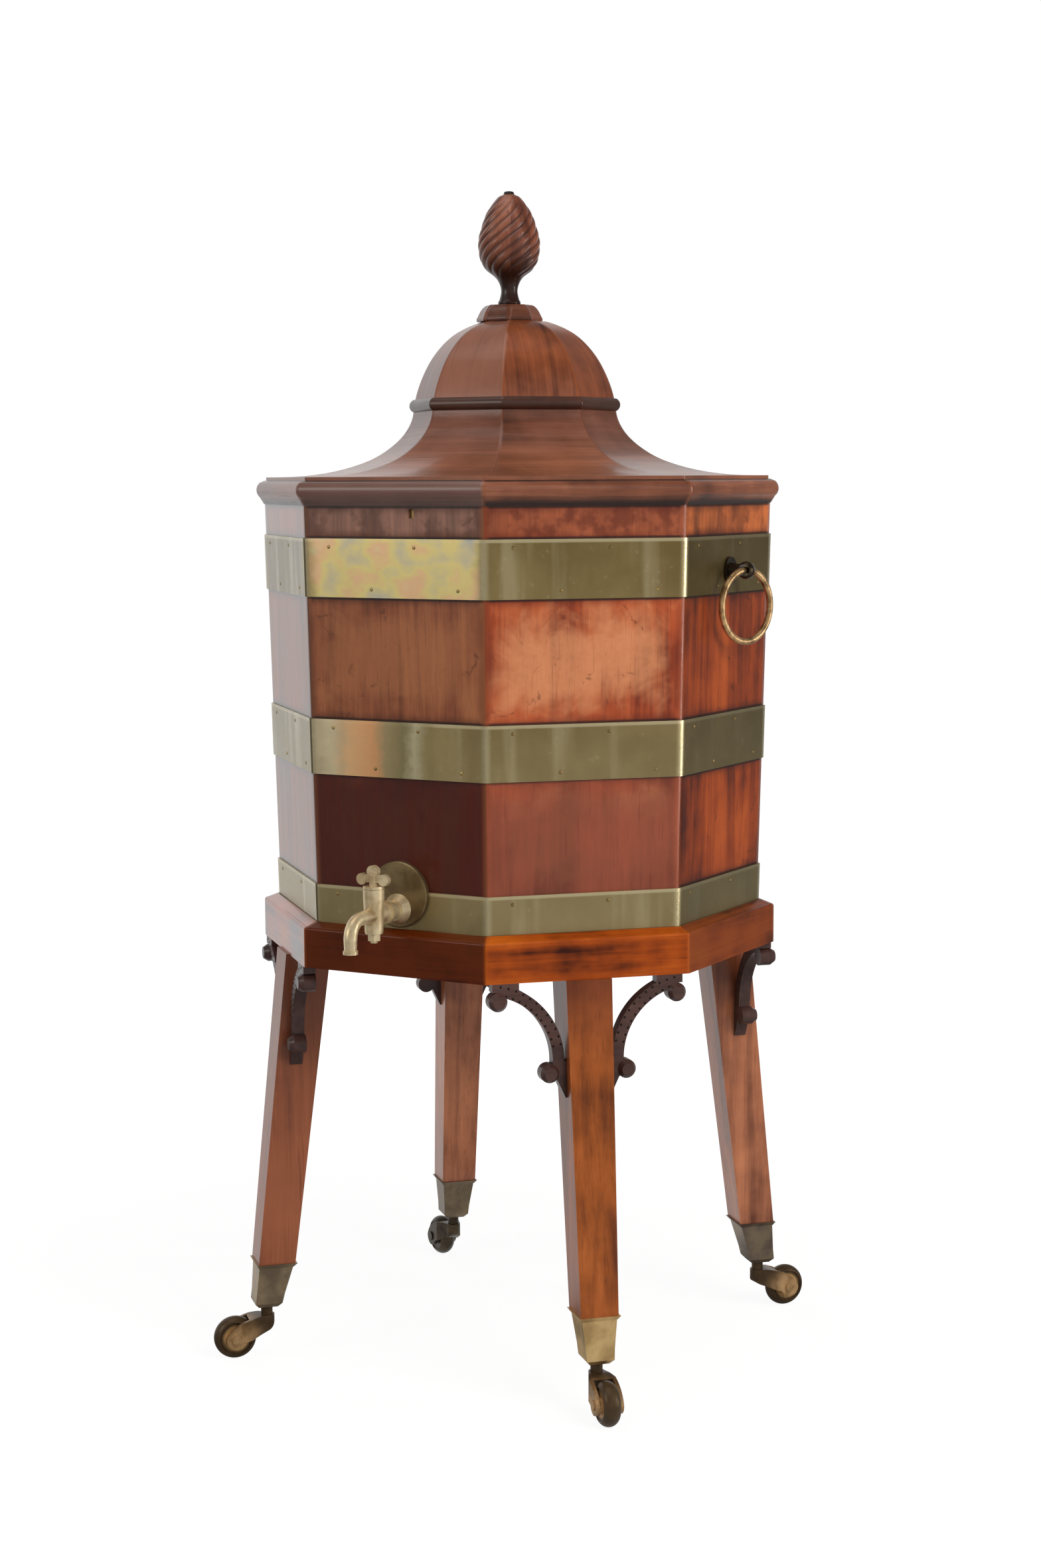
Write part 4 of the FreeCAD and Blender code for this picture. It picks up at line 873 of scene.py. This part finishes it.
@dataclass
class CarvedLid:
    """The domed lid and its spirally carved finial."""

    # the turned outline of the finial: radius and height
    profile: tuple[tuple[float, float], ...] = (
        (0.0096, 0.9330), (0.0100, 0.9355), (0.0086, 0.9385), (0.0073, 0.9450), (0.0084, 0.9510),
        (0.0120, 0.9570), (0.0205, 0.9640), (0.0256, 0.9725), (0.0274, 0.9840), (0.0270, 0.9910),
        (0.0256, 0.9970), (0.0202, 1.0125), (0.0110, 1.0255), (0.0056, 1.0290))
    lobes: int = 13
    rise: float = 52.0              # radians of twist for each metre of height
    depth: float = 0.0017           # of the carving, at the widest
    waist: float = 0.0105           # radius at which the carving starts
    full: float = 0.0225            # radius at which it has its depth
    power: float = 0.75             # below 1, it sharpens the valleys
    widest: float = 0.984           # height at which a lobe faces straight out to +X
    rows: int = 150
    columns: int = 330
    tip_profile: tuple[tuple[float, float], ...] = (
        (0.0, 1.0278), (0.0050, 1.0278), (0.0046, 1.0302), (0.0040, 1.0315), (0.0022, 1.0320), (0.0, 1.0320))

    def dress(self) -> None:
        """Finish the nodes of the lid and carve the finial."""
        dressed({"lid_rim": RIM_WOOD, "lid_skirt": SKIRT_WOOD, "lid_bead": BEAD_WOOD,
                 "lid_dome": DOME_WOOD, "lid_cap": SKIRT_WOOD, "lid_board": BOARD_WOOD})
        self.finial()

    def smooth_profile(self) -> Array:
        """Ease the turned outline between its points.

        Each stretch is a Catmull-Rom curve: a cubic through four neighbouring points.

        Returns:
            Pairs of radius and height.
        """
        marks = np.array(self.profile)
        marks = np.vstack([2 * marks[0] - marks[1], marks, 2 * marks[-1] - marks[-2]])
        run = np.linspace(0, len(marks) - 3 - 1e-9, self.rows)
        k = run.astype(int)
        t = (run - k)[:, None]
        a, b, c, d = marks[k], marks[k + 1], marks[k + 2], marks[k + 3]
        cubic = (3 * b - a - 3 * c + d) * t ** 3
        return 0.5 * (2 * b + (c - a) * t + (2 * a - 5 * b + 4 * c - d) * t ** 2 + cubic)

    def finial(self) -> None:
        """Carve the egg with slanting lobes, rounded above and sharp in the valleys.

        The radius loses the depth times the absolute sine of half the lobe angle, raised
        to a power; the lobe angle is the number of lobes times the azimuth less the twist
        at that height.  The carving fades out at the neck and at the brow.
        """
        turned = self.smooth_profile()
        outline = np.vstack([turned[:1] * (0.0, 1.0), turned, turned[-1:] * (0.0, 1.0)])
        points = spun(outline, self.columns)
        azimuth = np.linspace(0.0, 2 * math.pi, self.columns, endpoint=False)[None, :]
        height = outline[:, 1:]
        twisted = azimuth - self.rise * (height - self.widest)
        valley = 1 - np.abs(np.sin(0.5 * self.lobes * twisted)) ** self.power
        swell = np.clip((outline[:, :1] - self.waist) / (self.full - self.waist), 0.0, 1.0)
        scale = 1 - self.depth * valley * swell / np.maximum(outline[:, :1], 1e-4)
        points[..., :2] *= scale[..., None]
        points[..., :2] += middle("finial").xy
        faces = grid_faces(*points.shape[:2])
        body = piece_from("carved_finial", points, faces, values=(valley * swell).ravel())
        finished(body, FINIAL_WOOD)
        tip = self.tip()
        for piece in (body, tip):
            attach(piece, "lid")
        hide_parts("finial")

    def tip(self) -> bpy.types.Object:
        """Spin the small dark knob on top.

        Returns:
            The knob.
        """
        steps = 24
        points = spun(np.array(self.tip_profile), steps)
        points[..., :2] += middle("finial").xy
        tip = piece_from("finial_tip", points, grid_faces(len(self.tip_profile), steps))
        finished(tip, TIP_WOOD)
        return tip


@dataclass
class ScrolledStand:
    """The stand: rails, splayed legs, punched scrolls and casters."""

    heart: tuple[float, float] = (0.0897, 0.2990)   # centre of a scroll's curve: along, height
    radius: float = 0.0637
    rows: tuple[float, float] = (-0.0033, 0.0034)   # punched rows, from the strip's middle line
    first: float = 1.78                             # angles of the first and last mark, radians
    last: float = 2.92
    marks: int = 12
    mark: Dome = Dome(0.0011, 0.0003, 3, 8)
    face: float = 0.2143                            # outer face of the scrolls, from the axis

    def dress(self) -> None:
        """Finish the nodes of the stand and punch the scrolls."""
        looks = {"apron_rails": RAIL_WOOD}
        for name in CORNERS:
            # The back legs take the lighter copy of the leg wood, which paints their light
            looks[f"leg_{name}"] = PAINTED_LIT_LEG if name.startswith("back") else LEG_WOOD
            looks[f"scrolls_{name}"] = SCROLL_WOOD
            looks[f"caster_socket_{name}"] = SOCKETS[name]
            horn, wheel = (BLACK_BRASS, BLACK_BRASS) if name == "back_left" else (HORN_BRASS, WHEEL_BRASS)
            hub = tuple(middle(f"caster_wheel_{name}"))
            for part, brass in (("horn", horn), ("axle", horn), ("wheel", wheel)):
                looks[f"caster_{part}_{name}"] = replace(brass, name=f"{brass.name} {name}", hub=hub)
        dressed(looks)
        self.punch()

    def punch(self) -> None:
        """Small dark marks in two rows along each scroll.

        A mark lies on a circle about the heart of the scroll, at the row's radius and at
        evenly spaced angles, and is mirrored for the scroll on the leg's other side.
        """
        angle = np.linspace(self.first, self.last, self.marks)
        radius = self.radius + np.array(self.rows)[:, None]
        along, up = self.heart[0] + radius * np.cos(angle), self.heart[1] + radius * np.sin(angle)
        half = np.stack([along, up, np.full_like(up, self.face)], -1).reshape(-1, 3)
        spots = np.concatenate([half, half * (-1, 1, 1)])
        azimuths = np.repeat(list(CORNERS.values()), len(spots))
        marks = self.mark.scattered("scroll_punch_marks", azimuths, np.tile(spots, (len(CORNERS), 1)))
        finished(marks, PUNCHED)
        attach(marks, "stand")


# ---------------- studio
@dataclass(frozen=True)
class Wall:
    """A pale wall that polished wood and brass reflect."""

    azimuth: float                  # degrees round from the tap side
    tone: float                     # how white it is
    spread: tuple[float, float]     # cosines at which it starts and is full
    top: float                      # steepness at which it starts to end
    dark: float = 0.0               # how dark the floor near the object is before it


@dataclass(frozen=True)
class Lamp:
    """A soft rectangular lamp that looks at the middle of the tub."""

    name: str
    place: RGB
    size: tuple[float, float]       # how wide and how high
    power: float                    # watts
    tint: RGB
    glossy: bool = True             # whether polished pieces mirror it


@dataclass
class Studio:
    """White room, pale floor, soft lamps and the camera."""

    lamps: tuple[Lamp, ...] = (
        Lamp("key", (2.26, -1.0, 1.95), (1.5, 1.5), 58.0, (1.0, 0.97, 0.93), glossy=False),
        Lamp("strip", (2.3, 0.65, 0.75), (0.25, 1.3), 12.0, (1.0, 0.98, 0.95)),
        Lamp("top", (-0.2, -0.5, 2.9), (1.8, 1.8), 14.0, (1.0, 0.99, 0.97)),
        Lamp("front", (-1.15, -2.2, 1.4), (1.0, 0.9), 10.5, (1.0, 0.96, 0.90)),
        Lamp("back", (-2.1, 1.15, 1.0), (1.6, 1.6), 16.0, (0.97, 0.98, 1.0), glossy=False))
    aim: RGB = (0.0, 0.0, 0.55)     # where the lamps look
    ambient: float = 0.26           # the room as light on the object
    walls: tuple[Wall, ...] = (
        Wall(240.0, 1.0, (0.55, 0.85), 1.0), Wall(211.0, 1.0, (0.66, 0.90), 0.15),
        Wall(61.0, 0.50, (0.5, 0.9), 0.2), Wall(331.0, 0.45, (0.5, 0.9), 0.7, dark=1.0))
    dim: float = 0.16               # everything else in the room
    floor_reach: float = 14.0       # from the axis to the floor's edges, metres
    floor_tone: float = 0.62        # how pale the floor is under the lamps
    floor_white: float = 1.1        # strength of the white that needs no lamp
    floor_glow: float = 0.84        # that white's share of the floor near the object
    floor_mirrored: float = 0.85    # and its share in reflections
    azimuth: float = 28.917         # camera, degrees round from the tap side
    distance: float = 2.4107        # level distance from the axis
    height: float = 0.782
    yaw: float = -0.094
    pitch: float = 6.5
    roll: float = -0.252
    lens: float = 61.78

    def build(self) -> None:
        """Set up the view, the world, the floor, the lamps and the camera."""
        bpy.context.scene.view_settings.view_transform = "Standard"
        self.world()
        self.floor()
        for lamp in self.lamps:
            self.hang(lamp)
        self.camera()

    def room(self, direction: Sockets, far: Value) -> Socket:
        """Tell how white the room is one way.

        Each wall draws the tone to its own as far as the direction points at it, which is the
        cosine of the level angle between them, and not above it.

        Args:
            direction: the three numbers of a unit vector.
            far: 0 on the floor near the object, 1 far off.

        Returns:
            The tone, 1 for white.
        """
        tone = direction[2] * 0.0 + self.dim
        for wall in self.walls:
            turn = math.radians(wall.azimuth)
            towards = direction[0] * math.sin(turn) - direction[1] * math.cos(turn)
            share = towards.fade(*wall.spread) * direction[2].fade(wall.top + 0.3, wall.top)
            share = share * (1 - (1 - far) * wall.dark)
            tone = tone + share * (wall.tone - tone)
        return tone

    def world(self) -> None:
        """White to the camera, a room with pale walls to reflections, dimmer as light."""
        sheet = NodeSheet(bpy.data.worlds.new("studio room"))
        bpy.context.scene.world = sheet.owner
        camera, glossy, clear = sheet.rays()
        seen = glossy.math("MAXIMUM", clear)
        direction = sheet.parts(sheet.node("TexCoord", {}, {}, "Generated"))
        level = seen * self.room(direction, 1.0) + (1 - seen) * self.ambient
        tone = sheet.mixed(camera + (1 - camera) * level, "000000", "ffffff")
        sheet.close(sheet.node("Background", {}, {"Color": tone}), "World")

    def floor(self) -> None:
        """A wide pale floor; most of its white is its own, the rest takes the shadows."""
        corners = np.array([(-1, -1, 0), (1, -1, 0), (1, 1, 0), (-1, 1, 0)]) * self.floor_reach
        floor = piece_from("floor", corners, np.array([[0, 1, 2, 3]]))
        sheet = NodeSheet(bpy.data.materials.new("pale floor"))
        x, y, z = sheet.parts(sheet.place())
        out = sheet.maths("SQRT", x * x + y * y)
        camera, glossy, clear = sheet.rays()
        share = out.fade(0.4, 1.5) * (1 - self.floor_glow) + self.floor_glow
        seen = camera * share + glossy.math("MAXIMUM", clear) * self.floor_mirrored
        room = self.room((x / out, y / out, z), out.fade(2.0, 8.0)) / self.floor_white
        glow = sheet.mixed(camera + (1 - camera) * room, "000000", "ffffff")
        matt = sheet.node("BsdfDiffuse", {}, {"Color": (self.floor_tone,) * 3})
        glowing = sheet.node("Emission", {}, {"Color": glow, "Strength": self.floor_white})
        sheet.close(sheet.node("MixShader", {}, {0: seen, 1: matt, 2: glowing}))
        floor.data.materials.append(sheet.owner)

    def hang(self, lamp: Lamp) -> None:
        """Hang one lamp and turn it to the middle of the tub.

        Args:
            lamp: the lamp.
        """
        data = bpy.data.lights.new(lamp.name, "AREA")
        data.shape = "RECTANGLE"
        data.size, data.size_y = lamp.size
        data.energy = lamp.power
        data.color = lamp.tint
        made = bpy.data.objects.new(lamp.name, data)
        bpy.context.scene.collection.objects.link(made)
        made.location = lamp.place
        made.rotation_mode = "QUATERNION"
        made.rotation_quaternion = (Vector(self.aim) - Vector(lamp.place)).to_track_quat("-Z", "Y")
        made.visible_glossy = lamp.glossy

    def camera(self) -> None:
        """The camera, turned by its yaw, pitch and roll about its own axes."""
        turn = math.radians(self.azimuth)
        eye = (self.distance * math.sin(turn), -self.distance * math.cos(turn), self.height)
        place = Matrix.Translation(eye)
        for degrees, axis in ((self.azimuth + self.yaw, "Z"), (90.0 - self.pitch, "X"), (self.roll, "Z")):
            place @= Matrix.Rotation(math.radians(degrees), 4, axis)
        data = bpy.data.cameras.new("camera")
        data.sensor_width = 36.0
        data.lens = self.lens
        camera = bpy.data.objects.new("camera", data)
        bpy.context.scene.collection.objects.link(camera)
        camera.matrix_world = place
        bpy.context.scene.camera = camera


def main() -> None:
    """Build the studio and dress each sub-assembly."""
    logging.basicConfig(level=logging.INFO, format="%(name)s: %(message)s")
    Studio().build()
    for assembly in (TaperedTub(), CarvedLid(), ScrolledStand()):
        assembly.dress()
        LOG.info("dressed: %s", type(assembly).__name__)


if __name__ == "__main__":
    main()
